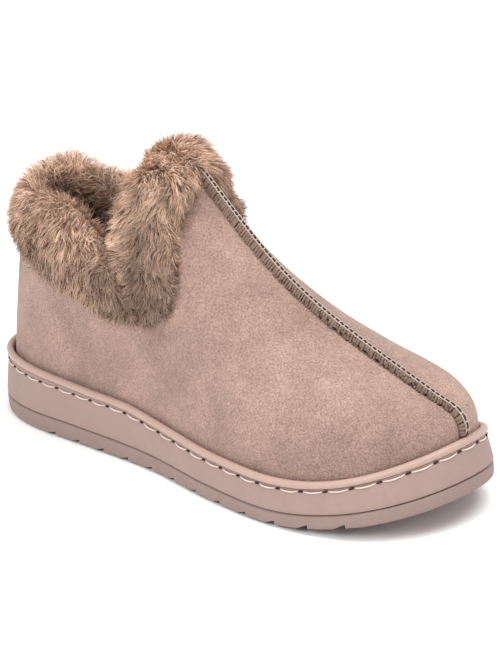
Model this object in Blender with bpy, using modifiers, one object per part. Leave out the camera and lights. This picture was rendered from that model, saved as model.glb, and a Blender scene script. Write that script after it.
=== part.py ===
"""Left bootie slipper with a turned-down fur collar, a raised vamp seam and a two-tier sole.

Metres, +Z up. The toe points along +X and the medial (inner) side faces -Y.
The origin is on the floor plane, under the middle of the sole's length.
"""

import math
from collections import namedtuple

import bmesh
import bpy
import numpy as np

# Driving sizes of the sole
SOLE_LENGTH = 0.265
BALL_WIDTH = 0.098
TREAD_HEIGHT = 0.0082
HEEL_HEIGHT = 0.0300
TOE_SPRING = 0.0140
HEEL_LIFT = 0.0018
TREAD_EDGE_RADIUS = 0.0020
WALL_FLARE = 0.0034
WALL_EDGE_RADIUS = 0.0010
PARTING_DEPTH = 0.0007
NOTCH_PITCH = 0.0162
NOTCH_DEPTH = 0.0026
NOTCH_RAMP = 0.0075
NOTCH_REACH = 0.0140
FIRST_NOTCH_FROM_HEEL = 0.0543
LAST_NOTCH_TO_TOE = 0.0300

# Driving sizes of the welt, upper and insole
BEAD_RADIUS = 0.0017
WELT_BAND_HEIGHT = 0.0032
WELT_BAND_SINK = 0.0005
UPPER_WALL = 0.0026
INSTEP_HEIGHT = 0.1330
COLLAR_HEIGHT = 0.1050
COLLAR_BACK_FROM_HEEL = 0.0240
COLLAR_LENGTH = 0.0960
COLLAR_WIDTH = 0.0580
RIDGE_END_TO_TOE = 0.0200
INSOLE_THICKNESS = 0.0050
INSOLE_CUP = 0.0015
INSOLE_ROOM = 0.0013

# Driving sizes of the fur collar and the vamp seam
CUFF_STAND_OFF = 0.0005
CUFF_PILE = 0.0095
CUFF_ROLL = 0.0112
CUFF_INNER_DEPTH = 0.0150
CUFF_INNER_PILE = 0.0075
LOCK_PITCH = 0.0080
LOCK_RISE = 0.0036
LOCK_OVERHANG = 0.0030
SEAM_HEIGHT = 0.0026
SEAM_WIDTH = 0.0036
SEAM_STITCH_PITCH = 0.0029
SEAM_END_ON_TOE = 0.30
SEAM_STITCH_DEPTH = 0.0005

# Fit between neighbouring pieces
CLEARANCE = 0.0003

# Where the ends of the sole's outline are rounded, as shares of its length, and how squarely
HEEL_ROUND = 0.194
TOE_ROUND = 0.236
HEEL_POWER = 2.2
TOE_POWER = 2.2
SPRING_START = 0.70
HEEL_LIFT_END = 0.10

# How far along the upper's ribs the collar reaches its front point, and the toe ribs' crowding
COLLAR_FRONT_RIB = 0.532
TOE_CROWDING = 1.6
LOBE_SPLIT = 0.76

# How far back the fold leans at the front and rolls over inwards there (degrees), and how
# much the fur thins at the split
CUFF_FRONT_LEAN = 40.0
CUFF_FRONT_ROLL_IN = 19.0
CUFF_TUCK = 0.20

# Mesh fineness
SOLE_STATIONS = 36
RIB_STATIONS = 24
RIB_STEPS = 10
BEZIER_STEP = 0.002

# Half widths of the sole, as shares of the ball width
SolePlan = namedtuple("SolePlan", "along medial lateral")
SOLE_PLAN = (
    SolePlan(0.00, 0.325, 0.352),
    SolePlan(0.12, 0.325, 0.355),
    SolePlan(0.28, 0.339, 0.366),
    SolePlan(0.45, 0.370, 0.410),
    SolePlan(0.60, 0.450, 0.488),
    SolePlan(0.72, 0.487, 0.508),
    SolePlan(0.85, 0.472, 0.442),
    SolePlan(1.00, 0.460, 0.420),
)

# Height of the welt's bead and of the parting line, as shares of the heel and tread heights
SoleSide = namedtuple("SoleSide", "along bead parting")
SOLE_SIDE = (
    SoleSide(0.00, 1.04, 1.00),
    SoleSide(0.15, 0.98, 1.02),
    SoleSide(0.30, 0.90, 1.00),
    SoleSide(0.38, 0.87, 0.96),
    SoleSide(0.46, 0.77, 0.90),
    SoleSide(0.56, 0.70, 0.85),
    SoleSide(0.72, 0.66, 0.78),
    SoleSide(0.86, 0.65, 0.78),
    SoleSide(1.00, 0.71, 0.82),
)

# Height of the vamp's ridge above the floor, as a share of the instep height
RidgeLine = namedtuple("RidgeLine", "along height")
RIDGE_LINE = (
    RidgeLine(0.440, 1.000),
    RidgeLine(0.497, 0.895),
    RidgeLine(0.562, 0.772),
    RidgeLine(0.630, 0.660),
    RidgeLine(0.706, 0.566),
    RidgeLine(0.788, 0.488),
    RidgeLine(0.870, 0.420),
    RidgeLine(0.940, 0.363),
    RidgeLine(1.000, 0.307),
)

# The shaft's top line from the back seam round to the front: half width as a share of half
# the collar's width, each side's height between the collar's (0) and the front's (1), and
# the share of that height kept where the side notch is cut down into it
CollarEdge = namedtuple("CollarEdge", "around width medial lateral kept")
COLLAR_EDGE = (
    CollarEdge(0.00, 0.00, 0.06, 0.06, 1.00),
    CollarEdge(0.12, 0.38, 0.05, 0.04, 1.00),
    CollarEdge(0.26, 0.75, 0.02, -0.06, 1.00),
    CollarEdge(0.42, 0.98, 0.04, -0.17, 1.00),
    CollarEdge(0.53, 1.02, 0.08, -0.14, 0.985),
    CollarEdge(0.61, 1.01, 0.14, -0.02, 0.915),
    CollarEdge(0.67, 0.98, 0.20, 0.12, 0.820),
    CollarEdge(0.72, 0.93, 0.28, 0.26, 0.745),
    CollarEdge(0.77, 0.85, 0.38, 0.38, 0.790),
    CollarEdge(0.85, 0.665, 0.615, 0.61, 0.920),
    CollarEdge(0.93, 0.40, 0.875, 0.87, 0.985),
    CollarEdge(1.00, 0.00, 1.00, 1.00, 1.00),
)

# The upper's ribs from the back seam (0) to the toe (1): the lean of the wall at the welt
# (degrees outward), how steeply each side falls from its top (degrees below level), and how
# far each end pulls the rib's curve, as shares of the rib's span
UpperRib = namedtuple("UpperRib", "rib lean medial lateral low_pull high_pull")
UPPER_RIBS = (
    UpperRib(0.00, -12.0, 76.0, 76.0, 0.33, 0.33),
    UpperRib(0.20, -3.0, 82.0, 82.0, 0.33, 0.33),
    UpperRib(0.38, 1.0, 80.0, 80.0, 0.33, 0.33),
    UpperRib(0.46, 2.0, 64.0, 68.0, 0.34, 0.32),
    UpperRib(0.532, 2.5, 46.0, 56.0, 0.38, 0.30),
    UpperRib(0.65, 3.0, 31.0, 32.0, 0.45, 0.40),
    UpperRib(0.80, 3.0, 16.0, 6.0, 0.58, 0.48),
    UpperRib(1.00, 9.0, 0.0, 0.0, 0.72, 0.50),
)

# The fur collar's free edge: each side's rib, and the height on it, at places round the collar
CuffEdge = namedtuple("CuffEdge", "around medial lateral height")
CUFF_EDGE = (
    CuffEdge(0.00, 0.000, 0.000, 0.740),
    CuffEdge(0.30, 0.165, 0.165, 0.725),
    CuffEdge(0.42, 0.240, 0.240, 0.640),
    CuffEdge(0.52, 0.300, 0.296, 0.580),
    CuffEdge(0.60, 0.352, 0.344, 0.515),
    CuffEdge(0.68, 0.405, 0.392, 0.455),
    CuffEdge(0.76, 0.458, 0.434, 0.445),
    CuffEdge(0.80, 0.480, 0.450, 0.450),
    CuffEdge(0.85, 0.503, 0.464, 0.485),
    CuffEdge(0.89, 0.516, 0.474, 0.590),
    CuffEdge(0.93, 0.516, 0.486, 0.720),
    CuffEdge(0.97, 0.530, 0.514, 0.830),
    CuffEdge(1.00, 0.553, 0.553, 1.000),
)

# Depth of the fur round the collar, as shares of its outer and inner pile and of its roll
CuffPile = namedtuple("CuffPile", "around medial lateral inner roll")
CUFF_PILES = (
    CuffPile(0.00, 0.85, 0.85, 1.00, 1.00),
    CuffPile(0.25, 0.90, 0.90, 1.00, 1.00),
    CuffPile(0.50, 1.05, 1.00, 1.00, 1.00),
    CuffPile(0.72, 1.00, 0.70, 1.00, 1.00),
    CuffPile(0.80, 1.00, 0.34, 1.50, 0.95),
    CuffPile(0.90, 0.95, 0.42, 2.30, 1.10),
    CuffPile(1.00, 0.90, 0.90, 2.20, 1.28),
)

# The fur from the fold's inside over to its free edge: the angle round the fold or how far
# down the outside, the pile there, and how far along its lock this row lies. Locks of
# each next course stand between those of the course before.
FoldRow = namedtuple("FoldRow", "angle lock course")
FOLD_ROWS = (
    FoldRow(158.0, 0.9, 0),
    FoldRow(128.0, 0.1, 1),
    FoldRow(96.0, 0.9, 1),
    FoldRow(68.0, 0.1, 2),
    FoldRow(36.0, 0.9, 2),
)
CuffRow = namedtuple("CuffRow", "down pile lock course")
CUFF_ROWS = (
    CuffRow(0.10, 0.92, 0.1, 3),
    CuffRow(0.34, 0.98, 1.0, 3),
    CuffRow(0.41, 0.98, 0.1, 4),
    CuffRow(0.64, 0.90, 1.0, 4),
    CuffRow(0.71, 0.86, 0.1, 5),
    CuffRow(0.93, 0.66, 1.0, 5),
)
CUFF_LINING_DOWN = (1.0, 0.75, 0.5, 0.28, 0.1)


def column(rows, name):
    return np.array([getattr(row, name) for row in rows], float)


def along_table(rows, name, where):
    """Smooth value of one column of a table, read against its first column."""
    knots = column(rows, rows[0]._fields[0])
    values = column(rows, name)
    gaps = np.diff(knots)
    rises = np.diff(values) / gaps
    slopes = np.empty_like(values)
    slopes[0], slopes[-1] = rises[0], rises[-1]
    slopes[1:-1] = (gaps[1:] * rises[:-1] + gaps[:-1] * rises[1:]) / (gaps[1:] + gaps[:-1])
    where = np.clip(np.asarray(where, float), knots[0], knots[-1])
    row = np.clip(np.searchsorted(knots, where, side="right") - 1, 0, len(gaps) - 1)
    gap = gaps[row]
    t = (where - knots[row]) / gap
    return (
        (1 + 2 * t) * (1 - t) ** 2 * values[row]
        + t * (1 - t) ** 2 * gap * slopes[row]
        + t * t * (3 - 2 * t) * values[row + 1]
        - t * t * (1 - t) * gap * slopes[row + 1]
    )


def smooth_step(t):
    t = np.clip(t, 0.0, 1.0)
    return t * t * (3 - 2 * t)


def unit(vectors):
    return vectors / np.maximum(np.linalg.norm(vectors, axis=-1, keepdims=True), 1e-12)


def stack(x, y, z):
    return np.stack(np.broadcast_arrays(x, y, z), axis=-1).astype(float)


# Round the shoe, turn runs from 0 at the back seam over the medial side to 1 at the toe,
# and over the lateral side to 2 at the back seam again.


def rib_of(turn):
    turn = np.mod(turn, 2.0)
    return np.where(turn <= 1.0, turn, 2.0 - turn)


def side_of(turn):
    return np.where(np.mod(turn, 2.0) <= 1.0, -1.0, 1.0)


def share_of(turn):
    return (1 - np.cos(math.pi * rib_of(turn))) / 2


def from_heel(share):
    return SOLE_LENGTH * (share - 0.5)


def end_rounding(share, reach, power):
    return (1 - np.clip(1 - share / reach, 0, 1) ** power) ** (1 / power)


def full_outline(turn):
    """Plan of the sole's widest outline, at the parting line."""
    share = share_of(turn)
    medial = along_table(SOLE_PLAN, "medial", share)
    lateral = along_table(SOLE_PLAN, "lateral", share)
    half = BALL_WIDTH * np.where(side_of(turn) < 0, medial, lateral)
    half = half * end_rounding(share, HEEL_ROUND, HEEL_POWER)
    half = half * end_rounding(1 - share, TOE_ROUND, TOE_POWER)
    return np.stack([from_heel(share), side_of(turn) * half], axis=-1)


def outline(turn, inset):
    """The outline moved inwards by inset, with the direction that points out of it."""
    step = 0.25 / SOLE_STATIONS
    ahead = full_outline(np.asarray(turn) + step)
    behind = full_outline(np.asarray(turn) - step)
    tangent = unit(ahead - behind)
    outward = np.stack([tangent[..., 1], -tangent[..., 0]], axis=-1)
    return full_outline(turn) - outward * inset, outward


def ground_height(share):
    toe = np.clip((share - SPRING_START) / (1 - SPRING_START), 0, 1)
    heel = np.clip((HEEL_LIFT_END - share) / HEEL_LIFT_END, 0, 1)
    return TOE_SPRING * toe**2 + HEEL_LIFT * heel**2


def spring_height(share):
    return TOE_SPRING * np.clip((share - SPRING_START) / (1 - SPRING_START), 0, 1) ** 2


def parting_height(share):
    return TREAD_HEIGHT * along_table(SOLE_SIDE, "parting", share) + spring_height(share)


def bead_height(share):
    return HEEL_HEIGHT * along_table(SOLE_SIDE, "bead", share) + spring_height(share)


def seat_height(share):
    """Top of the midsole, which the welt, upper and insole stand on."""
    return bead_height(share) - BEAD_RADIUS - WELT_BAND_HEIGHT


def upper_inset():
    return WALL_FLARE + BEAD_RADIUS + 2 * CLEARANCE


# The upper's skin


def ridge_height(x):
    return INSTEP_HEIGHT * along_table(RIDGE_LINE, "height", x / SOLE_LENGTH + 0.5)


def collar_back():
    return COLLAR_BACK_FROM_HEEL - SOLE_LENGTH / 2


def collar_front():
    return collar_back() + COLLAR_LENGTH


def collar_point(around, side):
    """A point on the upper's top edge, around from 0 at the back to 1 at the front."""
    x = collar_back() + COLLAR_LENGTH * (1 - np.cos(math.pi * around)) / 2
    y = side * COLLAR_WIDTH / 2 * along_table(COLLAR_EDGE, "width", around)
    front = ridge_height(collar_front())
    medial = along_table(COLLAR_EDGE, "medial", around)
    rise = np.where(side < 0, medial, along_table(COLLAR_EDGE, "lateral", around))
    return stack(x, y, COLLAR_HEIGHT + (front - COLLAR_HEIGHT) * rise)


def ridge_point(past):
    """A point on the vamp's centre ridge, past from 0 at the collar to 1 near the toe."""
    end = SOLE_LENGTH / 2 - RIDGE_END_TO_TOE
    x = collar_front() + (end - collar_front()) * (1 - (1 - past) ** TOE_CROWDING)
    return stack(x, 0.0, ridge_height(x))


def rib_ends(turn):
    """Base and top of each rib, with the directions in which its curve leaves them."""
    rib, side, share = rib_of(turn), side_of(turn), share_of(turn)
    plan, outward = outline(turn, upper_inset())
    base = stack(plan[..., 0], plan[..., 1], seat_height(share) + CLEARANCE)
    around = np.clip(rib / COLLAR_FRONT_RIB, 0, 1)
    past = np.clip((rib - COLLAR_FRONT_RIB) / (1 - COLLAR_FRONT_RIB), 0, 1)
    on_collar = (rib <= COLLAR_FRONT_RIB)[..., None]
    top = np.where(on_collar, collar_point(around, side), ridge_point(past))

    lean = np.radians(along_table(UPPER_RIBS, "lean", rib))
    rise = stack(outward[..., 0] * np.sin(lean), outward[..., 1] * np.sin(lean), np.cos(lean))

    medial = along_table(UPPER_RIBS, "medial", rib)
    slope = np.radians(np.where(side < 0, medial, along_table(UPPER_RIBS, "lateral", rib)))
    vamp = smooth_step((around - 0.6) / 0.4)
    towards = unit(outward * (1 - vamp[..., None]) + unit((base - top)[..., :2]) * vamp[..., None])
    x = top[..., 0]
    ridge_slope = (ridge_height(x + BEZIER_STEP) - ridge_height(x - BEZIER_STEP)) / (2 * BEZIER_STEP)
    steep = (1 - vamp + vamp * np.abs(towards[..., 1])) * np.tan(slope)
    leave = unit(stack(towards[..., 0], towards[..., 1], vamp * towards[..., 0] * ridge_slope - steep))
    return base, rise, top, leave


def edge_height(turn):
    """Where the upper ends on its skin: below the top line in the side notches."""
    return along_table(COLLAR_EDGE, "kept", np.clip(rib_of(turn) / COLLAR_FRONT_RIB, 0, 1))


def skin(turn, height):
    """The upper's outer surface: height runs from 0 at the welt to 1 at the top line or ridge."""
    turn, height = np.broadcast_arrays(np.asarray(turn, float), np.asarray(height, float))
    rib = rib_of(turn)
    base, rise, top, leave = rib_ends(turn)
    span = np.linalg.norm(top - base, axis=-1)[..., None]
    low = base + rise * span * along_table(UPPER_RIBS, "low_pull", rib)[..., None]
    high = top + leave * span * along_table(UPPER_RIBS, "high_pull", rib)[..., None]
    t = height[..., None]
    return (
        base * (1 - t) ** 3
        + low * 3 * t * (1 - t) ** 2
        + high * 3 * t * t * (1 - t)
        + top * t**3
    )


def skin_outward(turn, height):
    """The direction out of the skin, level across the centre line where the sides meet."""
    turn, height = np.broadcast_arrays(np.asarray(turn, float), np.asarray(height, float))
    step = BEZIER_STEP
    along = skin(turn + step, height) - skin(turn - step, height)
    up = skin(turn, np.minimum(height + step, 1)) - skin(turn, np.maximum(height - step, 0))
    out = unit(np.cross(along, up))
    rib = rib_of(turn)
    centred = ((height >= 1) & (rib >= COLLAR_FRONT_RIB)) | (rib <= 0) | (rib >= 1)
    out[..., 1] = np.where(centred, 0.0, out[..., 1])
    return unit(out)


def lifted(turn, height, lift):
    return skin(turn, height) + skin_outward(turn, height) * np.asarray(lift)[..., None]


# Meshes and materials


def material(name, colour, roughness, metallic=0.0):
    made = bpy.data.materials.new(name)
    made.use_nodes = True
    shader = made.node_tree.nodes["Principled BSDF"]
    shader.inputs["Base Color"].default_value = (*colour, 1.0)
    shader.inputs["Roughness"].default_value = roughness
    shader.inputs["Metallic"].default_value = metallic
    made.diffuse_color = (*colour, 1.0)
    return made


def add_object(name, points, faces, finish, collection):
    mesh = bpy.data.meshes.new(name)
    mesh.from_pydata([tuple(p) for p in points], [], faces)
    shape = bmesh.new()
    shape.from_mesh(mesh)
    bmesh.ops.remove_doubles(shape, verts=shape.verts, dist=1e-6)
    bmesh.ops.dissolve_degenerate(shape, dist=1e-6, edges=shape.edges)
    bmesh.ops.recalc_face_normals(shape, faces=shape.faces)
    shape.to_mesh(mesh)
    shape.free()
    made = bpy.data.objects.new(name, mesh)
    collection.objects.link(made)
    if finish is not None:
        mesh.materials.append(finish)
        mesh.shade_smooth()
        mesh.set_sharp_from_angle(angle=math.radians(40))
    return made


def ladder(count, first, upward):
    """Faces across a closed loop, from each medial point to the lateral one beside it."""
    half = count // 2
    faces = []
    for k in range(half):
        corners = [k, k + 1, count - k - 1, (count - k) % count]
        face = [first + c for n, c in enumerate(corners) if c not in corners[:n]]
        faces.append(face if upward else face[::-1])
    return faces


def stacked_loops(loops):
    """One closed solid from loops of equal length, bottom first, capped at both ends."""
    count = len(loops[0])
    faces = ladder(count, 0, False)
    for level in range(len(loops) - 1):
        for k in range(count):
            after = (k + 1) % count
            low, high = level * count, (level + 1) * count
            faces.append([low + k, low + after, high + after, high + k])
    faces += ladder(count, (len(loops) - 1) * count, True)
    return np.concatenate(loops), faces


def sole_turns():
    return np.arange(2 * SOLE_STATIONS) / SOLE_STATIONS


def sole_loop(inset, height):
    plan, _ = outline(sole_turns(), inset)
    return stack(plan[:, 0], plan[:, 1], height(share_of(sole_turns())))


def ring_solid(sections):
    """A closed ring from sections, each a closed polygon with the same number of points."""
    count, size = sections.shape[:2]
    faces = []
    for k in range(count):
        for j in range(size):
            here, there = k * size, ((k + 1) % count) * size
            nearby = (j + 1) % size
            faces.append([here + j, there + j, there + nearby, here + nearby])
    return sections.reshape(-1, 3), faces


def strip_solid(sections):
    """A closed bar from sections, flat at both ends."""
    count, size = sections.shape[:2]
    faces = [list(range(size)), [(count - 1) * size + j for j in reversed(range(size))]]
    for k in range(count - 1):
        for j in range(size):
            here, there = k * size, (k + 1) * size
            nearby = (j + 1) % size
            faces.append([here + j, there + j, there + nearby, here + nearby])
    return sections.reshape(-1, 3), faces


# Sole


def build_outsole(collection, cutters, rubber):
    loops = (
        sole_loop(TREAD_EDGE_RADIUS, ground_height),
        sole_loop(TREAD_EDGE_RADIUS * 0.3, lambda s: ground_height(s) + TREAD_EDGE_RADIUS * 0.3),
        sole_loop(0.0, lambda s: ground_height(s) + TREAD_EDGE_RADIUS),
        sole_loop(0.0, lambda s: parting_height(s) - PARTING_DEPTH),
        sole_loop(PARTING_DEPTH, parting_height),
    )
    points, faces = stacked_loops(loops)
    outsole = add_object("outsole", points, faces, rubber, collection)

    # Saw-tooth notches in the tread's edge: a ramp rising towards the toe, then a step down
    below = 4 * NOTCH_DEPTH
    points, faces = [], []
    room = SOLE_LENGTH - FIRST_NOTCH_FROM_HEEL - LAST_NOTCH_TO_TOE
    for n in range(int(room / NOTCH_PITCH + 1e-6) + 1):
        step = FIRST_NOTCH_FROM_HEEL + n * NOTCH_PITCH - SOLE_LENGTH / 2
        start = step - NOTCH_RAMP
        share = step / SOLE_LENGTH + 0.5
        floor = float(ground_height(share))
        start_floor = float(ground_height(start / SOLE_LENGTH + 0.5))
        profile = (
            (start, start_floor),
            (step, floor + NOTCH_DEPTH),
            (step, floor - below),
            (start, start_floor - below),
        )
        for side, name in ((-1, "medial"), (1, "lateral")):
            edge = BALL_WIDTH * float(along_table(SOLE_PLAN, name, share))
            first = len(points)
            for reach in (edge - NOTCH_REACH, edge + NOTCH_REACH):
                points += [(x, side * reach, z) for x, z in profile]
            faces += [[first, first + 1, first + 2, first + 3]]
            faces += [[first + 7, first + 6, first + 5, first + 4]]
            for j in range(4):
                nearby = (j + 1) % 4
                faces.append([first + j, first + 4 + j, first + 4 + nearby, first + nearby])
    notches = add_object("tread_notches", points, faces, None, cutters)
    notches.hide_render = True
    notches.display_type = "WIRE"
    cut = outsole.modifiers.new("Notches", "BOOLEAN")
    cut.operation = "DIFFERENCE"
    cut.object = notches
    return outsole


def build_midsole(collection, rubber):
    rest = WALL_EDGE_RADIUS
    loops = (
        sole_loop(PARTING_DEPTH, lambda s: parting_height(s) + CLEARANCE),
        sole_loop(0.0, lambda s: parting_height(s) + CLEARANCE + PARTING_DEPTH),
        sole_loop(WALL_FLARE * 0.25, lambda s: 0.45 * parting_height(s) + 0.55 * seat_height(s)),
        sole_loop(WALL_FLARE * 0.6, lambda s: seat_height(s) - rest),
        sole_loop(WALL_FLARE * 0.6 + rest, seat_height),
    )
    points, faces = stacked_loops(loops)
    return add_object("midsole", points, faces, rubber, collection)


def build_welt(collection, rubber):
    """A stitched band standing on the midsole, with a round bead along its top."""
    turns = sole_turns()
    share = share_of(turns)
    _, outward = outline(turns, 0.0)
    bead = bead_height(share)
    bottom = seat_height(share) + CLEARANCE
    band_face = WALL_FLARE - BEAD_RADIUS + WELT_BAND_SINK
    back_face = WALL_FLARE + BEAD_RADIUS
    angles = np.radians((-38.0, 8.0, 54.0, 100.0, 142.0))
    section = [(back_face, bottom), (band_face, bottom), (band_face, bead - BEAD_RADIUS)]
    for angle in angles:
        across, up = BEAD_RADIUS * math.cos(angle), BEAD_RADIUS * math.sin(angle)
        section.append((WALL_FLARE - across, bead + up))
    section += [(back_face, bead)]
    plan = full_outline(turns)
    rows = []
    for inset, height in section:
        at = plan - outward * inset
        rows.append(stack(at[:, 0], at[:, 1], height))
    points, faces = ring_solid(np.stack(rows, axis=1))
    return add_object("welt", points, faces, rubber, collection)


def build_insole(collection, fleece):
    """The footbed, inside the upper's wall and dished towards its middle."""
    edge = upper_inset() + UPPER_WALL + CLEARANCE + INSOLE_ROOM
    dish = edge + 3 * INSOLE_THICKNESS
    loops = (
        sole_loop(edge, lambda s: seat_height(s) + CLEARANCE),
        sole_loop(edge, lambda s: seat_height(s) + INSOLE_THICKNESS - INSOLE_CUP / 3),
        sole_loop(edge + INSOLE_CUP, lambda s: seat_height(s) + INSOLE_THICKNESS),
        sole_loop(dish, lambda s: seat_height(s) + INSOLE_THICKNESS - INSOLE_CUP),
    )
    points, faces = stacked_loops(loops)
    return add_object("insole", points, faces, fleece, collection)


# Upper


def build_upper(collection, suede):
    """The skin as an open sheet from welt to collar, given its wall inwards."""
    turns = np.arange(2 * RIB_STATIONS) / RIB_STATIONS
    notch = COLLAR_FRONT_RIB * np.array([0.66, 0.72, 0.76, 0.80, 0.84, 0.88, 0.92, 0.96, 1.0])
    turns = np.unique(np.concatenate([turns, notch, 2 - notch]))
    heights = np.linspace(0, 1, RIB_STEPS + 1)
    grid = skin(turns[:, None], heights[None, :] * edge_height(turns)[:, None])
    count, size = grid.shape[:2]
    faces = []
    for k in range(count):
        for j in range(size - 1):
            here, there = k * size, ((k + 1) % count) * size
            faces.append([here + j, there + j, there + j + 1, here + j + 1])
    upper = add_object("upper", grid.reshape(-1, 3), faces, suede, collection)
    wall = upper.modifiers.new("Wall", "SOLIDIFY")
    wall.thickness = UPPER_WALL
    wall.offset = -1.0
    wall.use_even_offset = False
    return upper


def lock_crest(length, course):
    """How near each section is to the middle of a fur lock, from 0 between two to 1."""
    across = np.mod(length / LOCK_PITCH + 0.5 * course, 1.0) - 0.5
    return 1 - 2 * np.abs(across)


def cuff_sections(arounds, side):
    """Sections of the fur collar: back along the upper and up over its edge, then the fur."""
    turn_sign = 1.0 if side < 0 else -1.0
    edge_turn = turn_sign * arounds * COLLAR_FRONT_RIB
    name = "medial" if side < 0 else "lateral"
    foot_turn = turn_sign * along_table(CUFF_EDGE, name, arounds)
    foot_height = along_table(CUFF_EDGE, "height", arounds)
    tuck = 1 - CUFF_TUCK * np.exp(-(((arounds - LOBE_SPLIT) / 0.04) ** 2))
    pile = CUFF_PILE * along_table(CUFF_PILES, name, arounds) * tuck
    inner_pile = CUFF_INNER_PILE * along_table(CUFF_PILES, "inner", arounds) * tuck
    roll = CUFF_ROLL * along_table(CUFF_PILES, "roll", arounds) * tuck

    edge_at = edge_height(edge_turn)
    edge = skin(edge_turn, edge_at)
    out = skin_outward(edge_turn, edge_at)
    lean = np.radians(CUFF_FRONT_LEAN) * smooth_step((arounds - 0.5) / 0.5)
    up = stack(-np.sin(lean), 0.0, np.cos(lean))
    up = unit(up - out * (up * out).sum(axis=1, keepdims=True))
    roll_in = np.radians(CUFF_FRONT_ROLL_IN) * smooth_step((arounds - LOBE_SPLIT) / (1 - LOBE_SPLIT))
    up = up * np.cos(roll_in)[:, None] - out * np.sin(roll_in)[:, None]
    places = np.arange(len(arounds)) * LOCK_PITCH / 2

    def outside(down, lift):
        turn = edge_turn + (foot_turn - edge_turn) * down
        return lifted(turn, edge_at + (foot_height - edge_at) * down, lift)

    def inside(down, lift):
        depth = down * CUFF_INNER_DEPTH / np.linalg.norm(edge - skin(edge_turn, 0.0), axis=1)
        return lifted(edge_turn, edge_at - depth, -UPPER_WALL - 2 * CLEARANCE - lift)

    flat = np.zeros_like(arounds)
    lower = [outside(down, flat + CLEARANCE + CUFF_STAND_OFF) for down in CUFF_LINING_DOWN]
    lower.append(edge + out * CLEARANCE + up * 3 * CLEARANCE)
    lower.append(edge - out * (UPPER_WALL + 2 * CLEARANCE) + up * 3 * CLEARANCE)
    lower += [inside(0.5, flat), inside(1.0, flat)]

    upper = [inside(1.06, 0.6 * inner_pile), inside(0.5, inner_pile)]
    centre = edge - out * UPPER_WALL / 2
    for row in FOLD_ROWS:
        relief = LOCK_RISE * (row.lock * lock_crest(places, row.course) - 0.5)
        level, rise = math.cos(math.radians(row.angle)), math.sin(math.radians(row.angle))
        width = pile * 0.88 if level > 0 else inner_pile + UPPER_WALL / 2
        sideways, upward = (width + relief) * level, (roll + relief) * rise
        upper.append(centre + out * sideways[:, None] + up * upward[:, None])
    for row in CUFF_ROWS:
        relief = LOCK_RISE * (row.lock * lock_crest(places, row.course) - 0.5)
        upper.append(outside(row.down, pile * row.pile + relief))
    overhang = LOCK_OVERHANG * lock_crest(places, CUFF_ROWS[-1].course)
    overhang = overhang / np.linalg.norm(skin(foot_turn, foot_height) - edge, axis=1)
    upper.append(outside(1.0 + overhang, pile * 0.28))
    return np.stack(lower, axis=1), np.stack(upper, axis=1)


def bridged(lower, upper):
    """Triangles between two chains of point numbers that start at the same end."""
    faces = []
    i, j = 0, 0
    while i + 1 < len(lower) or j + 1 < len(upper):
        lower_is_behind = (i + 1) * (len(upper) - 1) <= (j + 1) * (len(lower) - 1)
        if j + 1 == len(upper) or (i + 1 < len(lower) and lower_is_behind):
            faces.append([lower[i], lower[i + 1], upper[j]])
            i += 1
        else:
            faces.append([lower[i], upper[j + 1], upper[j]])
            j += 1
    return faces


def build_cuff(name, start, end, collection, fur):
    """One piece of the fur collar, from the centre line to the side notches."""
    fine = np.linspace(start, end, 200)
    edge_rib = fine * COLLAR_FRONT_RIB
    middle_rib = (edge_rib + along_table(CUFF_EDGE, "medial", fine)) / 2
    middle_height = (edge_height(edge_rib) + along_table(CUFF_EDGE, "height", fine)) / 2
    steps = np.linalg.norm(np.diff(skin(middle_rib, middle_height), axis=0), axis=1)
    lengths = np.concatenate([[0.0], np.cumsum(steps)])
    count = 2 * int(round(lengths[-1] / LOCK_PITCH))
    arounds = np.interp(np.linspace(0, lengths[-1], count + 1), lengths, fine)
    medial_lower, medial_upper = cuff_sections(arounds, -1)
    lateral_lower, lateral_upper = cuff_sections(arounds, 1)
    lower = np.concatenate([medial_lower[::-1], lateral_lower[1:]])
    upper = np.concatenate([medial_upper[::-1], lateral_upper[1:]])
    sections = np.concatenate([lower, upper], axis=1)
    points, faces = strip_solid(sections)
    rounds, size = sections.shape[:2]
    against = list(range(lower.shape[1]))
    fur_side = list(reversed(range(lower.shape[1], size)))
    last = (rounds - 1) * size
    faces = faces[2:] + bridged(against, fur_side)
    faces += bridged([last + j for j in against], [last + j for j in fur_side])
    return add_object(name, points, faces, fur, collection)


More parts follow.
